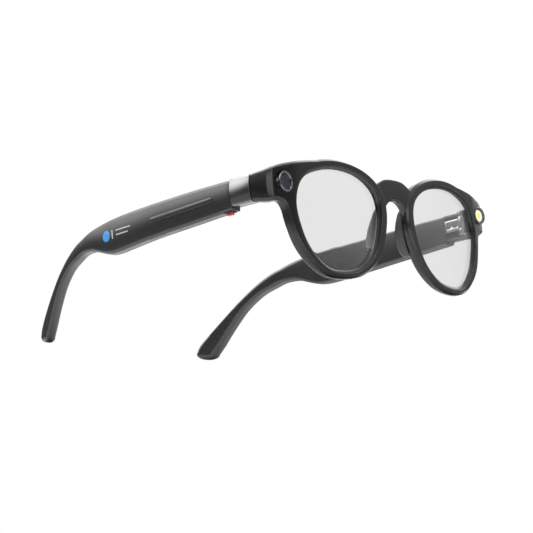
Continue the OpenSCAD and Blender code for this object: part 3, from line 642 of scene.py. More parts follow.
def fill(outer, holes, depth):
    points, edges = [], []
    for loop in [outer] + holes:
        base = len(points)
        points += [Vector(p) for p in loop]
        edges += [(base + i, base + (i + 1) % len(loop)) for i in range(len(loop))]
    verts, _, faces, _, _, _ = delaunay_2d_cdt(points, edges, [], 0, 1e-7)
    kept = []
    for face in faces:
        middle = sum((verts[i] for i in face), Vector((0, 0))) / len(face)
        if inside(outer, middle) and not any(inside(hole, middle) for hole in holes):
            kept.append(tuple(face))
    return [(v.x, v.y, depth) for v in verts], kept


print("outline points:", len(outline))

# %% [markdown]
# The opening for the lens has a fine step at the front, a sloped bezel down to the lens, a groove that
# holds the lens edge, and a small flare at the back. Each row is an offset of the lens outline.

# %% Front moulding, one half
bezel_rows = [(0.62, 0.0), (0.5, 0.02), (0.4, 0.12), (0.36, 0.34), (0.3, 0.42), (0.14, 0.44), (-0.3, 0.64),
              (-0.74, 0.86), (-0.84, 0.96), (-0.9, 1.12), (-0.95, 1.48), (0.58, 1.48), (0.58, 3.44),
              (-0.12, 3.44), (-0.12, 3.8), (-0.02, 4.05), (0.2, RIM_T)]
arcs = [math.radians(a) for a in (0, 18, 36, 54, 72, 90)]
outer_rows = [(1.2, 0.0), (1.08, 0.02), (0.96, 0.1), (0.5, 0.58), (0.14, 1.0), (0.04, 1.16), (0.0, 1.36)]
outer_rows += [(BACK_IN * (1 - math.sin(a)), RIM_T - BACK_DEEP * (1 - math.cos(a))) for a in reversed(arcs)]
BORE_GAP, BORE_DEEP = 0.08, 3.1


def flat_rings(rows, ring_of):
    return [[(p[0], p[1], depth) for p in ring_of(offset)] for offset, depth in rows]


def half_front(bore):
    parts = [
        bridge_rings(flat_rings(outer_rows, outline_ring)),
        bridge_rings(flat_rings(bezel_rows, lens_ring)),
        bridge_rings([[(*p, depth) for p in eye_ring(bore)] for depth in (0.0, BORE_DEEP)], cap_last=True),
        fill(outline_ring(FRONT_IN), [lens_ring(bezel_rows[0][0]), eye_ring(bore)], 0.0),
        fill(outline_ring(BACK_IN), [lens_ring(bezel_rows[-1][0])], RIM_T),
    ]
    points, faces = join_parts(parts)
    bm = bmesh.new()
    flat_verts = [bm.verts.new(p) for p in points]
    for face in faces:
        if len(set(face)) == len(face):
            bm.faces.new([flat_verts[i] for i in face])
    bmesh.ops.remove_doubles(bm, verts=bm.verts, dist=1e-4)
    cuts = [(1.5 * k + 8, 0) for k in range(48)] + [(row[0], 0) for row in path[:-1]]
    cuts += [(z, 1) for z in (5.6, 6.1, 6.6, 7.1, 15.4, 15.9, 16.5)]
    for place, axis in cuts:
        normal = Vector((0, 1, 0)) if axis else Vector((1, 0, 0))
        bmesh.ops.bisect_plane(bm, geom=bm.verts[:] + bm.edges[:] + bm.faces[:], dist=1e-5,
                               plane_co=normal * place, plane_no=normal)
    bm.verts.index_update()
    half = ([on_front(*v.co) for v in bm.verts], [tuple(v.index for v in f.verts) for f in bm.faces])
    open_edges = sum(1 for e in bm.edges if len(e.link_faces) != 2)
    bm.free()
    print("half front:", len(half[0]), "points,", len(half[1]), "faces, open edges:", open_edges)
    return half


camera_half, light_half = half_front(EYE_R + BORE_GAP), half_front(LIGHT_R + BORE_GAP)

# %% [markdown]
# The bridge is a separate saddle that sits a little behind the rims, so the rounded rim edges run past
# it. Its sections fan out so that it dives into both rims without reaching the lens openings.

# %% Bridge saddle
BRIDGE_BACK = 0.85
saddle_half = [(12.2, 15.0, 8.3, 4.0), (9, 16.9, 5.9, 7.5), (6, 18.3, 3.9, 9.2), (3, 18.8, 1.9, 10.1)]
saddle = [(-xt, zt, -xb, zb) for xt, zt, xb, zb in saddle_half] + [(0, 18.9, 0, 10.3)] + saddle_half[::-1]


def corner(cx, cy, r, start, count=5):
    return [(cx + r * math.cos(math.radians(start + 90 * k / count)),
             cy + r * math.sin(math.radians(start + 90 * k / count))) for k in range(count + 1)]


bridge_sections = []
for xt, zt, xb, zb in spline(saddle, 6):
    h = math.hypot(xt - xb, zt - zb)
    back = RIM_T - 0.03
    r, q = 0.8, 0.9
    section = (corner(BRIDGE_BACK + r, r, r, 180) + corner(back - q, q, q, 270)
               + corner(back - q, h - q, q, 0) + corner(BRIDGE_BACK + r, h - r, r, 90))
    ring = []
    for depth, v in section:
        x = xb + (xt - xb) * v / h
        z = zb + (zt - zb) * v / h
        px, py, pz = on_front(abs(x), z, depth)
        ring.append((math.copysign(px, x), py, pz))
    bridge_sections.append(ring)
saddle_part = bridge_rings(bridge_sections, cap_first=True, cap_last=True)


def temp_object(name, part):
    obj = bpy.data.objects.new(name, closed_mesh(name, *part))
    bpy.context.collection.objects.link(obj)
    return obj


def boolean(base, others, operation="UNION"):
    for other in others:
        mod = base.modifiers.new("cut", "BOOLEAN")
        mod.operation, mod.solver, mod.object = operation, "EXACT", other
    graph = bpy.context.evaluated_depsgraph_get()
    mesh = bpy.data.meshes.new_from_object(base.evaluated_get(graph))
    for obj in [base] + others:
        bpy.data.objects.remove(obj)
    return mesh


added = [temp_object("camera_half", mirrored(camera_half)), temp_object("saddle", saddle_part)]
front_mesh = boolean(temp_object("light_half", light_half), added)
finish_piece("front_moulding", front_mesh, frame_black, "front", ["front_frame"], 32)
print("front moulding:", len(front_mesh.vertices), "points")

# %% [markdown]
# Each lens is a closed dish: two faces with a mild bulge towards the front and an edge that sits in
# the groove. Rings shrink from the edge to the middle, so the bulge is smooth.

# %% Lenses
LENS_FRONT, LENS_THICK, LENS_BULGE, LENS_SEAT, SEEN = 1.52, 1.84, 0.9, 0.52, 0.93
shrink = [1.0, 0.975, 0.95, 0.93, 0.88, 0.8, 0.7, 0.58, 0.45, 0.32, 0.2, 0.1, 0.0]


def dish(thick):
    rings = []
    for k in shrink:
        bulge = LENS_BULGE * (1 - (k / SEEN) ** 2) if k < SEEN else 0.0
        depth = LENS_FRONT + thick - bulge
        rings.append([on_front(LENS_X + (x - LENS_X) * k, LENS_Z + (z - LENS_Z) * k, depth)
                      for x, z in lens_ring(LENS_SEAT)])
    return rings


lens_part = bridge_rings(list(reversed(dish(0.0))) + dish(LENS_THICK))
for side, sign in SIDES.items():
    piece("lens_" + side + "_clear", *sided(lens_part, sign), lens_clear, "front", "lens_clear",
          ["lens_" + side], 50)
print("lenses made")

# %% [markdown]
# The nose pads are thin fans that stand behind the inner side of each rim and lean outwards towards
# the face. A pad is a stack of rounded slices, each as deep as the fan is at that height.

# %% Nose pads
fan_back = [(-10.7, 2.4), (-9.8, 4.1), (-8.6, 5.0), (-5.6, 5.5), (-1.2, 5.0), (1.8, 4.1), (4.2, 3.1),
            (6.4, 2.0), (8.1, 0.4)]
fan_face = [(-11, 10.2), (-8, 8.65), (-5.5, 7.75), (-3, 7.05), (0, 6.45), (3, 6.2), (8.2, 6.3)]
PAD_THICK, PAD_SLOPE, PAD_LOW, PAD_TOP, PAD_ROOT = 2.9, 0.287, -10.65, 8.05, 0.7


def pad_slice(z):
    deep = RIM_T + lookup(fan_back, z)
    face = lookup(fan_face, z)
    to_end = min(z - PAD_LOW, PAD_TOP - z)
    thick = PAD_THICK * math.sqrt(max(0.0, 1 - (1 - min(1.0, to_end / 1.3)) ** 2)) + 0.02
    face += (PAD_THICK - thick) / 2
    r = thick / 2
    root = RIM_T - PAD_ROOT
    side = [root + (deep - r - root) * k / 6 for k in range(7)]
    loop = [(face, y) for y in side]
    loop += [(face + r - r * math.cos(math.pi * k / 8), deep - r + r * math.sin(math.pi * k / 8))
             for k in range(1, 8)]
    loop += [(face + thick, y) for y in reversed(side)]
    lean = math.sin(LEAN)
    return [(x + PAD_SLOPE * max(0.0, y - RIM_T), y + front_y(x) - z * lean, z + y * lean) for x, y in loop]


heights = [PAD_LOW + (PAD_TOP - PAD_LOW) * (1 - math.cos(math.pi * k / 28)) / 2 for k in range(29)]
pad_part = bridge_rings([pad_slice(z) for z in heights], cap_first=True, cap_last=True)
for side, sign in SIDES.items():
    piece("nose_pad_" + side + "_fan", *sided(pad_part, sign), pad_black, "front", "pad",
          ["nose_pad_" + side], 60)
print("nose pads made")

# %% [markdown]
# The camera and the light share one design: a short metal tube that stands out of the end piece, with a
# thin bright lip round its window. Tubes are turned parts, so a profile is spun round the viewing axis.

# %% Turned parts


def turned(profile, x, z, count=72, flutes=0, flute_deep=0.0):
    rings = []
    for r, y, fluted in profile:
        ring = []
        for k in range(count):
            a = 2 * math.pi * k / count
            rr = r - (flute_deep * (0.5 - 0.5 * math.cos(flutes * a)) if fluted else 0.0)
            ring.append((x + rr * math.cos(a), y, z + rr * math.sin(a)))
        rings.append(ring)
    return bridge_rings(rings)


def plain(profile):
    return [(r, y, False) for r, y in profile]


LIP = [(3.04, 1.7, 0), (3.04, 0.62, 0), (3.1, 0.5, 0), (3.42, 0.1, 0), (3.5, 0.03, 0), (3.86, 0.0, 0),
       (3.98, 0.06, 0), (4.05, 0.2, 0), (4.05, 0.46, 0), (3.9, 0.52, 0), (3.9, 0.7, 0), (4.08, 0.76, 0),
       (4.08, 0.9, 1), (4.08, 2.6, 1), (4.08, 3.4, 0), (4.0, 4.05, 0), (2.3, 4.05, 0), (2.3, 1.7, 0),
       (3.04, 1.7, 0)]


def tube(radius):
    profile = [(r - EYE_R + radius, EYE_Y + y, fluted) for r, y, fluted in LIP]
    return turned(profile, EYE_X, EYE_Z, 120, 20, 0.16)


def window(radius):
    edge = radius - 1.1
    rows = [(0.0, 0.66), (edge * 0.5, 0.63), (edge - 0.15, 0.66), (edge, 0.78), (edge, 1.64), (0.0, 1.64)]
    return turned(plain([(r, EYE_Y + y) for r, y in rows]), EYE_X, EYE_Z)


piece("camera_tube", *mirrored(tube(EYE_R)), ring_metal, "front", "ring_metal", ["camera_ring"], 40)
piece("light_tube", *tube(LIGHT_R), ring_metal, "front", "ring_metal", ["light_ring"], 40)
piece("camera_glass", *mirrored(window(EYE_R)), cover_glass, "front", "camera_glass", ["camera_window"])
cone = [(2.14, 6.47), (2.02, 6.5), (1.9, 6.78), (1.75, 6.8), (1.62, 7.05), (1.47, 7.1), (1.45, 8.2),
        (1.6, 8.75), (2.14, 8.75), (2.14, 6.47)]
piece("camera_cone", *mirrored(turned(plain(cone), EYE_X, EYE_Z)), dark_plastic, "front", "dark_plastic",
      ["camera_barrel"], 30)
DOME_R, DOME_Y = 2.2, 8.95
dome_turns = [math.radians(5 * k) for k in range(8)]
dome = [(DOME_R * math.sin(a), DOME_Y - DOME_R * math.cos(a)) for a in dome_turns]
dome_part = turned(plain(dome + [(1.38, 7.3), (1.38, 8.1), (0.0, 8.1)]), EYE_X, EYE_Z)
piece("camera_dome", *mirrored(dome_part), coated_lens, "front", "camera_glass", ["camera_lens"])
piece("light_disc", *window(LIGHT_R), light_window, "front", "light_window", ["light_window"])
core_profile = [(0.0, 5.2), (0.45, 5.21), (0.85, 5.25), (1.05, 5.33), (1.05, 5.4), (0.0, 5.4)]
piece("light_spot", *turned(plain(core_profile), EYE_X, EYE_Z), light_core, "front", "light_window")
print("camera and light made")

# %% [markdown]
# Many small parts are flat outlines given a thickness with softened ends. One helper makes them all:
# it insets the outline near both ends, so light catches the edge, and lays the result where it's told.

# %% Soft extrusion


def soft_extrude(loop, low, high, r, place, soft_low=True):
    normals = outward(loop)
    turns = [math.radians(a) for a in (0, 30, 60, 90)]
    rows = [(r * (1 - math.sin(a)), low + r * (1 - math.cos(a))) for a in turns] if soft_low else [(0.0, low)]
    rows += [(r * (1 - math.sin(a)), high - r * (1 - math.cos(a))) for a in reversed(turns)]
    rings = [[place(p[0] - n.x * inset, p[1] - n.y * inset, t) for p, n in zip(loop, normals)]
             for inset, t in rows]
    return bridge_rings(rings, cap_first=True, cap_last=True)


def capsule(y0, z0, y1, z1, r, count=9):
    turn = math.atan2(z1 - z0, y1 - y0)
    arcs = [(y1, z1, turn - math.pi / 2), (y0, z0, turn + math.pi / 2)]
    return [(cy + r * math.cos(a + math.pi * k / count), cz + r * math.sin(a + math.pi * k / count))
            for cy, cz, a in arcs for k in range(count + 1)]


def round_box(a0, a1, b0, b1, r, count=4):
    return (corner(a0 + r, b0 + r, r, 180, count) + corner(a1 - r, b0 + r, r, 270, count)
            + corner(a1 - r, b1 - r, r, 0, count) + corner(a0 + r, b1 - r, r, 90, count))


print("soft extrusion ready")

# %% [markdown]
# An arm is a deep box over the temple that narrows to a round hook behind the ear. Its outer side
# bulges a little, its top edge is round and its lower edge has a flat chamfer. A row of matched points
# on the upper and lower edge carries one section shape from front to tip.

# %% Arm sections
SHELL_X, INNER_X, SEAM_X = 72.65, 66.5, 67.9
BEND_Y, BEND_OUT, BEND_IN = 60.0, 199.0, 205.5
arm_pairs = [
    (25.86, 16.1, 25.86, 4.1), (45, 15.9, 45, 3.0), (65, 15.2, 65, 1.9), (80, 14.6, 80, 0.8),
    (88, 14.2, 88, 0.35),
    (94, 13.7, 93, 0.75), (100, 12.95, 97.5, 2.2), (105, 11.9, 101.5, 3.7), (109.5, 10.4, 105, 4.3),
    (114, 8.9, 109.5, 4.2), (120, 5.8, 114.5, 2.7), (125, 2.4, 119.5, 0.9), (130, -1.5, 124, -1.9),
    (135, -6, 128.2, -5.4), (140, -10.6, 132, -9.8), (144.4, -14.8, 135.5, -14.3), (147.4, -18, 138.5, -18.5),
    (148.9, -21, 141.5, -22.2),
]
TIP = (145.5, -23.9)
SEAM_AT, SUB = 5, 6
stations = spline(arm_pairs, SUB)


def bend(y, r):
    return 0.0 if y <= BEND_Y else r - math.sqrt(r * r - (y - BEND_Y) ** 2)


def across_arm(x, y):
    part = (x - INNER_X) / (SHELL_X - INNER_X)
    return x - bend(y, BEND_IN) * (1 - part) - bend(y, BEND_OUT) * part


def outer_path(x_from, x_out, h, r_top, cut, ease, bulge, r_low=1.6):
    def side(v):
        return x_out - bulge * (2 * v / h - 1) ** 2
    edge = side(cut)
    flat_cut = [(edge - cut - 0.25, 0), (edge - cut - 0.03, 0.03), (edge - cut + 0.18, 0.2),
                (edge - 0.16, cut - 0.18), (edge - 0.02, cut + 0.04), (side(cut + 0.25), cut + 0.25)]
    r = min(r_low, h * 0.45)
    full = side(r)
    arc = [(full - r + r * math.cos(math.radians(a)), r + r * math.sin(math.radians(a)))
           for a in (-90, -72, -54, -36, -18, 0)]
    low = [(p[0] + (q[0] - p[0]) * ease, p[1] + (q[1] - p[1]) * ease) for p, q in zip(flat_cut, arc)]
    v0, v1 = low[-1][1], h - r_top
    flank = [(side(v0 + (v1 - v0) * k / 9), v0 + (v1 - v0) * k / 9) for k in range(1, 9)]
    top = side(v1)
    over_arc = [(top - r_top + r_top * math.cos(math.radians(a)), v1 + r_top * math.sin(math.radians(a)))
                for a in (0, 18, 36, 54, 72, 90)]
    start = [(x_from, 0.0), ((x_from + low[0][0]) / 2, 0.0)]
    finish = [((x_from + top - r_top) / 2, h), (x_from, h)]
    return start + low + flank + over_arc + finish


def arm_loop(x_in, x_out, h, r_in, r_top, cut, ease, bulge):
    path = outer_path(x_in + r_in, x_out, h, r_top, cut, ease, bulge)
    return path + corner(x_in + r_in, h - r_in, r_in, 90, 4)[1:] + [(x_in, h * 0.67), (x_in, h * 0.33)] \
        + corner(x_in + r_in, r_in, r_in, 180, 4)[:-1]


def arm_ring(station, x_in, x_out, r_in, r_top=None, cut=None, bulge=None):
    yt, zt, yb, zb = station
    h = math.hypot(yt - yb, zt - zb)
    ease = smooth(84, 100, yt)
    r_top = (1.5 + 0.5 * ease) if r_top is None else r_top
    cut = 0.95 if cut is None else cut
    bulge = 0.85 * min(1.0, (h / 12.0) ** 2) if bulge is None else bulge
    ring = []
    for x, v in arm_loop(x_in, x_out, h, min(r_in, h * 0.3), r_top, cut, ease, bulge):
        y = yb + (yt - yb) * v / h
        ring.append((across_arm(x, y), y, zb + (zt - zb) * v / h))
    return ring


print("arm stations:", len(stations))

# %% [markdown]
# The shell runs from a slim core under the metal band to the tip. Up to the ear bend its inner side
# stops at a seam, because the thin inner cover closes it there; behind that it is solid and rounded.

# %% Arm shell and inner cover


def tip_rings(last):
    (xt, yt), (xb, yb) = (last[0], last[1]), (last[2], last[3])
    mid = ((xt + xb) / 2, (yt + yb) / 2)
    rings = []
    for k in range(1, 8):
        a = math.radians(90 * k / 7)
        c, s = max(0.02, math.cos(a)), math.sin(a)
        move = ((TIP[0] - mid[0]) * s, (TIP[1] - mid[1]) * s)
        st = (mid[0] + (xt - mid[0]) * c + move[0], mid[1] + (yt - mid[1]) * c + move[1],
              mid[0] + (xb - mid[0]) * c + move[0], mid[1] + (yb - mid[1]) * c + move[1])
        centre = (INNER_X + SHELL_X) / 2
        half_x = (SHELL_X - INNER_X) / 2 * (0.35 + 0.65 * c) if k < 7 else 0.4
        rings.append(arm_ring(st, centre - half_x, centre + half_x, 1.6 * c, 2.0 * c, 0.95 * c))
    return rings


core = [arm_ring((y, 15.36, y, 6.44), INNER_X, 72.08, 0.3, 0.4, 0.35, 0.0) for y in (15.75, 25.6)]
steps = [arm_ring((y, zt, y, zb), SEAM_X, x, 0.1) for y, zt, zb, x in
         ((25.66, 15.3, 4.9, 71.9), (25.66, 15.95, 4.25, 72.5), (25.72, 16.06, 4.14, 72.61))]
core = core + steps
narrow = [arm_ring(s, SEAM_X, SHELL_X, 0.1) for s in stations[:SEAM_AT * SUB + 1]]
wide = [arm_ring(s, INNER_X, SHELL_X, 0.9 + 0.7 * smooth(94, 104, s[0])) for s in stations[SEAM_AT * SUB:]]
shell_part = bridge_rings(core + narrow + wide + tip_rings(stations[-1]), cap_first=True, cap_last=True)
slab = round_box(INNER_X, 68.88, 5.62, 16.18, 0.45)
slab_part = soft_extrude(slab, 15.72, 26.0, 0.2, lambda x, z, y: (x, y, z))


def cover_ring(station, inset):
    yt, zt, yb, zb = station
    h = math.hypot(yt - yb, zt - zb)
    r, tight, edge = 0.9, 0.1, SEAM_X - 0.16
    loop = (corner(INNER_X + r + inset, r + inset, r, 180, 5) + corner(edge, tight + inset, tight, 270, 2)
            + corner(edge, h - tight - inset, tight, 0, 2)
            + corner(INNER_X + r + inset, h - r - inset, r, 90, 5))
    ring = []
    for x, v in loop:
        y = yb + (yt - yb) * v / h
        ring.append((across_arm(x, y), y, zb + (zt - zb) * v / h))
    return ring


def moved(station, dy):
    return (station[0] + dy, station[1], station[2] + dy, station[3])


cover_line = [moved(stations[0], 0.24)] + stations[1:SEAM_AT * SUB]
cover_rings = [cover_ring(moved(stations[0], 0.2), 0.12)] + [cover_ring(s, 0.0) for s in cover_line]
seam_end = stations[SEAM_AT * SUB]
cover_rings += [cover_ring(moved(seam_end, -0.12), 0.0), cover_ring(moved(seam_end, -0.06), 0.1)]
cover_part = bridge_rings(cover_rings, cap_first=True, cap_last=True)
print("shell points:", len(shell_part[0]), "cover points:", len(cover_part[0]))

# %% [markdown]
# Under the arm, sound leaves through a row of short slots and a pinhole leads to the microphone. The
# holes are cut out of the finished shell, so they keep crisp edges on the curved underside.

# %% Shells with their sound slots


def slot_tool(y, length, wide_x, x_mid):
    ends = x_mid - bend(y, BEND_OUT), x_mid - bend(y + 1, BEND_OUT)
    loop = capsule(y - length / 2, ends[0], y + length / 2, ends[1], wide_x / 2, 6)
    return soft_extrude(loop, -1.0, 3.4, 0.01, lambda a, b, t: (b, a, t))


SLOTS, SLOT_STEP = 5, 1.75
slots = [slot_tool(61.9 + SLOT_STEP * k, 0.75, 0.62, 70.3) for k in range(SLOTS)]
pinhole = [slot_tool(53.7, 0.02, 0.7, 69.7)]
for side, sign in SIDES.items():
    holes = [temp_object("slot", sided(p, sign)) for p in slots + (pinhole if side == "right" else [])]
    mesh = boolean(temp_object("shell", sided(shell_part, sign)), holes, "DIFFERENCE")
    finish_piece("arm_shell_" + side + "_skin", mesh, arm_black, ARM[side],
                 ["arm_shell_" + side], 32)
    piece("arm_cheek_" + side, *sided(slab_part, sign), arm_black, ARM[side], "arm_plastic")
    piece("arm_cover_" + side + "_skin", *sided(cover_part, sign), arm_black, ARM[side], "arm_plastic",
          ["arm_cover_" + side], 40)
print("arm shells and covers made")

# %% [markdown]
# A bright metal band wraps the arm just behind the hinge. It's a folded sheet, open on the inner side,
# with the same bulge as the arm but standing a little proud, and brushed from top to bottom.

# %% Metal band
BAND_Y0, BAND_Y1, BAND_WALL, BAND_LOW, BAND_H = 15.72, 25.6, 0.8, 5.35, 10.8
band_out = outer_path(68.96, SIDE_X, BAND_H, 0.9, 0.5, 0.0, 1.05)
band_normals = []
for k, p in enumerate(band_out):
    a, b = band_out[max(k - 1, 0)], band_out[min(k + 1, len(band_out) - 1)]
    t = Vector((b[0] - a[0], b[1] - a[1])).normalized()
    band_normals.append(Vector((t.y, -t.x)))
band_in = [(p[0] - n.x * BAND_WALL, p[1] - n.y * BAND_WALL) for p, n in zip(band_out, band_normals)]
band_loop = band_out + list(reversed(band_in))
band_part = soft_extrude(band_loop, BAND_Y0, BAND_Y1, 0.14, lambda x, v, y: (x, y, BAND_LOW + v))
for side, sign in SIDES.items():
    piece("band_" + side + "_sheet", *sided(band_part, sign), band_steel, ARM[side], "band_metal",
          ["band_" + side], 40)
print("bands made")

# %% [markdown]
# On the outer side of the wearer's right arm are a raised touch bar and, near the ear, small printed
# marks. The real marks spell words, so here they're a plain dot, a bar and two dashes.

# %% Touch bar and printed marks


def arm_side(y, z):
    top = lookup([(s[0], s[1]) for s in stations], y)
    low = lookup([(s[2], s[3]) for s in stations], y)
    h = top - low
    return across_arm(SHELL_X, y) - 0.85 * min(1.0, (h / 12.0) ** 2) * (2 * (z - low) / h - 1) ** 2


def on_arm(y, z, out):
    return (-(arm_side(y, z) + out), y, z)


def long_loop(y0, z0, y1, z1, r):
    ends = capsule(y0, z0, y1, z1, r)
    loop = []
    for p, q in zip(ends, ends[1:] + ends[:1]):
        n = max(1, int(math.dist(p, q) / 2))
        loop += [(p[0] + (q[0] - p[0]) * k / n, p[1] + (q[1] - p[1]) * k / n) for k in range(n)]
    return loop


bar_part = soft_extrude(long_loop(35.6, 9.95, 65.9, 8.5, 1.05), -0.5, 0.45, 0.4, on_arm, soft_low=False)
piece("touch_ridge", *bar_part, arm_black, "right_arm", "arm_plastic", ["touch_bar"], 50)
INK_OUT, INK_DEEP = 0.06, -0.3


def ink_dot(y, z, r, count=48):
    rows = [(0.0, INK_DEEP), (1.0, INK_DEEP), (1.0, INK_OUT - 0.02)]
    rows += [(k, INK_OUT) for k in (0.98, 0.75, 0.5, 0.25, 0.0)]
    turns = [2 * math.pi * k / count for k in range(count)]
    return bridge_rings([[on_arm(y + r * k * math.cos(a), z + r * k * math.sin(a), out) for a in turns]
                         for k, out in rows])


def ink_strip(y0, z0, y1, z1, half):
    length = math.dist((y0, z0), (y1, z1))
    dy, dz = (y1 - y0) / length, (z1 - z0) / length
    count = math.ceil(length / 0.5)
    edges = ((-half, INK_DEEP), (half, INK_DEEP), (half, INK_OUT), (-half, INK_OUT))
    rings = []
    for k in range(count + 1):
        y, z = y0 + dy * length * k / count, z0 + dz * length * k / count
        rings.append([on_arm(y - dz * a, z + dy * a, out) for a, out in edges])
    return bridge_rings(rings, cap_first=True, cap_last=True)


piece("mark_dot", *ink_dot(92.3, 7.6, 2.2), ink_blue, "right_arm", "accent_blue", ["accent_dot"], 60)
bar_mark = ink_strip(88.6, 5.9, 88.6, 9.5, 0.32)
piece("mark_bar", *bar_mark, ink_pale, "right_arm", "accent_pale", ["accent_bar"], 60)
dashes = join_parts([ink_strip(y0, z, 86.3, z, 0.25) for y0, z in ((77.9, 8.85), (79.5, 7.05))])
piece("mark_dashes", *dashes, ink_pale, "right_arm", "accent_pale", ["accent_lines"], 60)
print("touch bar and marks made")

# %% [markdown]
# Hinge leaves, pins, screws, contacts and the button already have the right shape in the solid model.
# They only lack softened edges, so each is copied, cleaned of triangle edges and bevelled.

# %% Softened small parts


def soften(name, node, mat, body, width, crease=35):
    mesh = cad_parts[node].data.copy()
    bm = bmesh.new()
    bm.from_mesh(mesh)
    bmesh.ops.remove_doubles(bm, verts=bm.verts, dist=WELD)
    bmesh.ops.dissolve_limit(bm, angle_limit=math.radians(1.5), verts=bm.verts, edges=bm.edges)
    sharp = [e for e in bm.edges if len(e.link_faces) == 2 and e.calc_face_angle(0) > math.radians(50)]
    bmesh.ops.bevel(bm, geom=sharp, offset=width * MM, segments=2, profile=0.6, affect="EDGES",
                    clamp_overlap=True)
    bmesh.ops.recalc_face_normals(bm, faces=bm.faces)
    bm.to_mesh(mesh)
    bm.free()
    return finish_piece(name, mesh, mat, body, [node], crease)


for side in SIDES:
    soften("hinge_front_" + side, "front_leaf_" + side, hinge_steel, "front", 0.12)
    soften("hinge_arm_" + side, "arm_leaf_" + side, hinge_steel, ARM[side], 0.12)
    soften("hinge_axle_" + side, "hinge_pin_" + side, hinge_steel, "front", 0.05)
    soften("hinge_screws_" + side, "arm_leaf_screws_" + side, dark_steel, ARM[side], 0.06)
    soften("case_screws_" + side, "cover_screws_" + side, dark_steel, ARM[side], 0.06)
    soften("end_plate_" + side, "end_cover_" + side, frame_black, "front", 0.15)
soften("front_screws", "front_leaf_screws", dark_steel, "front", 0.06)
soften("contact_pads", "charge_contacts", contact_gold, "right_arm", 0.08)
soften("button_collar", "button_ring", dark_plastic, "right_arm", 0.15)
soften("button_top", "button_cap", button_red, "button", 0.25)
print("small parts softened")

# %% [markdown]
# A thin strip along the back of the brow hides the flat cable that joins the two arms. It follows
# the brow line and stands a hair above the frame, with rounded edges.

# %% Brow strip
brow = [(57.6, 14.4), (56, 17.5), (50.5, 20.25), (34.5, 21.7), (22.5, 19.9), (11.7, 15.8), (5.5, 14.6),
        (0, 14.8)]
brow = brow + [(-x, z) for x, z in reversed(brow[:-1])]
brow_line = spline(brow, 10)
STRIP_SECTION = [(-0.7, 3.9), (-0.7, 4.22), (-0.62, 4.29), (0.0, 4.31), (0.62, 4.29), (0.7, 4.22), (0.7, 3.9)]
brow_rings = []
for k, p in enumerate(brow_line):
    a, b = brow_line[max(k - 1, 0)], brow_line[min(k + 1, len(brow_line) - 1)]
    t = Vector((b[0] - a[0], b[1] - a[1])).normalized()
    n = Vector((-t.y, t.x))
    end = math.sqrt(max(0.05, 1 - max(0.0, 1 - min(k, len(brow_line) - 1 - k) / 2) ** 2))
    ring = []
    for off, depth in STRIP_SECTION:
        x, z = p[0] + n.x * off * end, p[1] + n.y * off * end
        px, py, pz = on_front(abs(x), z, depth)
        ring.append((math.copysign(px, x), py, pz))
    brow_rings.append(ring)
strip_part = bridge_rings(brow_rings, cap_first=True, cap_last=True)
piece("brow_strip", *strip_part, dark_plastic, "front", "frame_plastic", ["brow_cover"], 50)
print("brow strip made")

# %% [markdown]
# The parts inside the arms and the end pieces keep their solid shapes. Each gets the finish of the
# real thing: green boards, a grey battery sleeve, dark speaker boxes, an amber cable.

# %% Finishes of the inner parts
inner_finish = {
    "front_flex": flex_amber, "camera_board": board_green, "light_board": board_green,
    "main_board": board_green, "sound_board": board_green, "battery_": battery_wrap,
    "speaker_mesh_": dark_steel, "speaker_": dark_plastic, "ear_core_": hinge_steel,
    "microphone": contact_gold, "button_switch": hinge_steel, "light_emitter": light_core,
}
for name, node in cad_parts.items():
    if node.hide_render:
        continue
    match = next((mat for key, mat in inner_finish.items() if name.startswith(key)), None)
    if match:
        for slot_of in node.material_slots:
            slot_of.material = match
    else:
        print("without a finish:", name)
print("inner parts finished")

# %% [markdown]
# The studio is a pale floor and a bright surround. The camera sits below the floor's level, so the
# floor is clear from behind, and the surround is white to the eye but shaded for reflections, because
# black plastic is drawn only by what it reflects. The floor is plain pale to the camera, but its colour in
# reflections and bounce light is a painted shade: light grey near the middle and dark grey further out.

# %% Floor
floor_mat, tree, shader = start_material("pale_floor", {"Roughness": 0.8, "Specular IOR Level": 0.1})
seen = add(tree, "ShaderNodeLightPath")
paper = add(tree, "ShaderNodeTexNoise", {"Scale": 30.0, "Detail": 3.0}, {"Vector": local(tree)})
tone = two_tone(tree, (0.78, 0.78, 0.78), (0.82, 0.82, 0.82), paper.outputs["Fac"])
across_floor = add(tree, "ShaderNodeSeparateXYZ", links={0: local(tree)})
off_middle = add(tree, "ShaderNodeMath", operation="ABSOLUTE", links={0: across_floor.outputs["X"]})
# Painted shade: reflection and bounce rays see the floor light grey near the middle and dark grey further
# out, while camera rays see the pale tone.
shade = add(tree, "ShaderNodeMapRange", {"From Min": 0.09, "From Max": 0.14, "To Min": 0.7, "To Max": 0.16},
            {"Value": off_middle.outputs[0]}, interpolation_type="SMOOTHSTEP")
dim = add(tree, "ShaderNodeMix", data_type="RGBA",
          links={0: seen.outputs["Is Camera Ray"], 6: shade.outputs["Result"], 7: tone})
tree.links.new(dim.outputs[2], shader.inputs["Base Color"])
clear = add(tree, "ShaderNodeBsdfTransparent")
sides_of = add(tree, "ShaderNodeNewGeometry")
choose = add(tree, "ShaderNodeMixShader",
             links={0: sides_of.outputs["Backfacing"], 1: shader.outputs[0], 2: clear.outputs[0]})
tree.links.new(choose.outputs[0], tree.nodes["Material Output"].inputs["Surface"])
floor_mesh = bpy.data.meshes.new("floor")
FLOOR, FLOOR_Z = 4.0, -0.0004
ends = ((-FLOOR, -FLOOR), (FLOOR, -FLOOR), (FLOOR, FLOOR), (-FLOOR, FLOOR))
floor_mesh.from_pydata([(x, y, FLOOR_Z) for x, y in ends], [], [(0, 1, 2, 3)])
floor_mesh.materials.append(floor_mat)
floor = bpy.data.objects.new("floor", floor_mesh)
bpy.context.collection.objects.link(floor)
print("floor made")

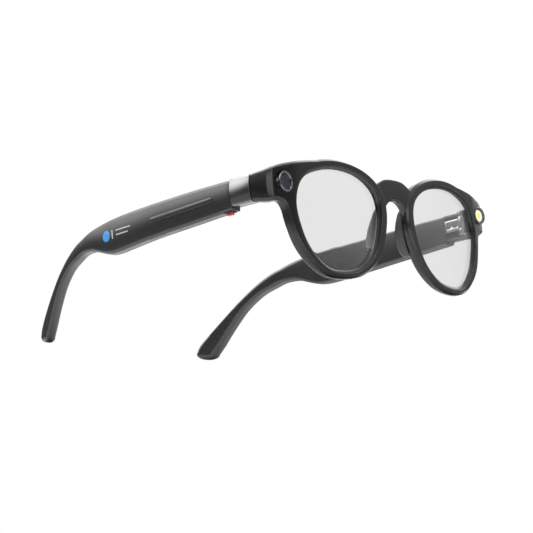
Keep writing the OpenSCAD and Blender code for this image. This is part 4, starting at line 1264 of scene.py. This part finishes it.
# %% [markdown]
# Reflections come from a surround that is dark at the horizon and bright overhead, with four soft
# glows: for the outer side of the arm, the corner facet, the front face and the upper edges. One
# large panel above adds the soft shadow.

# %% Surround and lights
world = bpy.data.worlds.new("studio")
bpy.context.scene.world = world
world.use_nodes = True
tree = world.node_tree
tree.nodes.clear()
sky = add(tree, "ShaderNodeTexCoord")
split = add(tree, "ShaderNodeSeparateXYZ", links={0: sky.outputs["Generated"]})
span = add(tree, "ShaderNodeMapRange", {"From Min": -1.0, "From Max": 1.0}, {"Value": split.outputs["Z"]})
ramp = add(tree, "ShaderNodeValToRGB", links={0: span.outputs["Result"]})
ramp.color_ramp.elements[0].color = (0.2, 0.2, 0.2, 1)
ramp.color_ramp.elements[1].color = (1, 1, 1, 1)
for at_height, level_of in ((0.46, 0.1), (0.6, 0.1), (0.68, 0.3), (0.8, 0.8)):
    ramp.color_ramp.elements.new(at_height).color = (level_of, level_of, level_of, 1)


def glow(below, toward, start, end, power):
    facing = add(tree, "ShaderNodeVectorMath", {1: Vector(toward).normalized()},
                 {0: sky.outputs["Generated"]}, operation="DOT_PRODUCT")
    amount = add(tree, "ShaderNodeMapRange", {"From Min": start, "From Max": end, "To Max": power},
                 {"Value": facing.outputs["Value"]}, interpolation_type="SMOOTHSTEP")
    total = add(tree, "ShaderNodeMath", operation="ADD", links={0: below, 1: amount.outputs["Result"]})
    return total.outputs[0]


level_now = glow(ramp.outputs["Color"], (-0.44, 0.6, 0.67), 0.84, 0.995, 3.6)
level_now = glow(level_now, (-0.62, -0.75, 0.25), 0.93, 0.99, 1.6)
level_now = glow(level_now, (0.77, -0.6, 0.25), 0.8, 1.0, 0.35)
level_now = glow(level_now, (0.75, 0.2, 0.63), 0.8, 0.97, 2.6)
ray = add(tree, "ShaderNodeLightPath")
direct = add(tree, "ShaderNodeMath", operation="MAXIMUM",
             links={0: ray.outputs["Is Camera Ray"], 1: ray.outputs["Is Transmission Ray"]})
picked = add(tree, "ShaderNodeMix", data_type="RGBA", links={0: direct.outputs[0], 6: level_now})
picked.inputs[7].default_value = (1, 1, 1, 1)
surround = add(tree, "ShaderNodeBackground", links={"Color": picked.outputs[2]})
tree.links.new(surround.outputs[0], add(tree, "ShaderNodeOutputWorld").inputs["Surface"])


PANEL_AT, PANEL_SIZE, PANEL_WATTS = Vector((-0.2, 0.2, 1.1)), 1.2, 9
data = bpy.data.lights.new("top_panel", "AREA")
data.shape, data.size, data.size_y, data.energy = "RECTANGLE", PANEL_SIZE, PANEL_SIZE, PANEL_WATTS
lamp = bpy.data.objects.new("top_panel", data)
lamp.location = PANEL_AT
lamp.rotation_euler = (-PANEL_AT).to_track_quat("-Z", "Y").to_euler()
lamp.visible_camera = lamp.visible_transmission = False
bpy.context.collection.objects.link(lamp)
bpy.context.scene.view_settings.view_transform = "Standard"
print("studio ready")
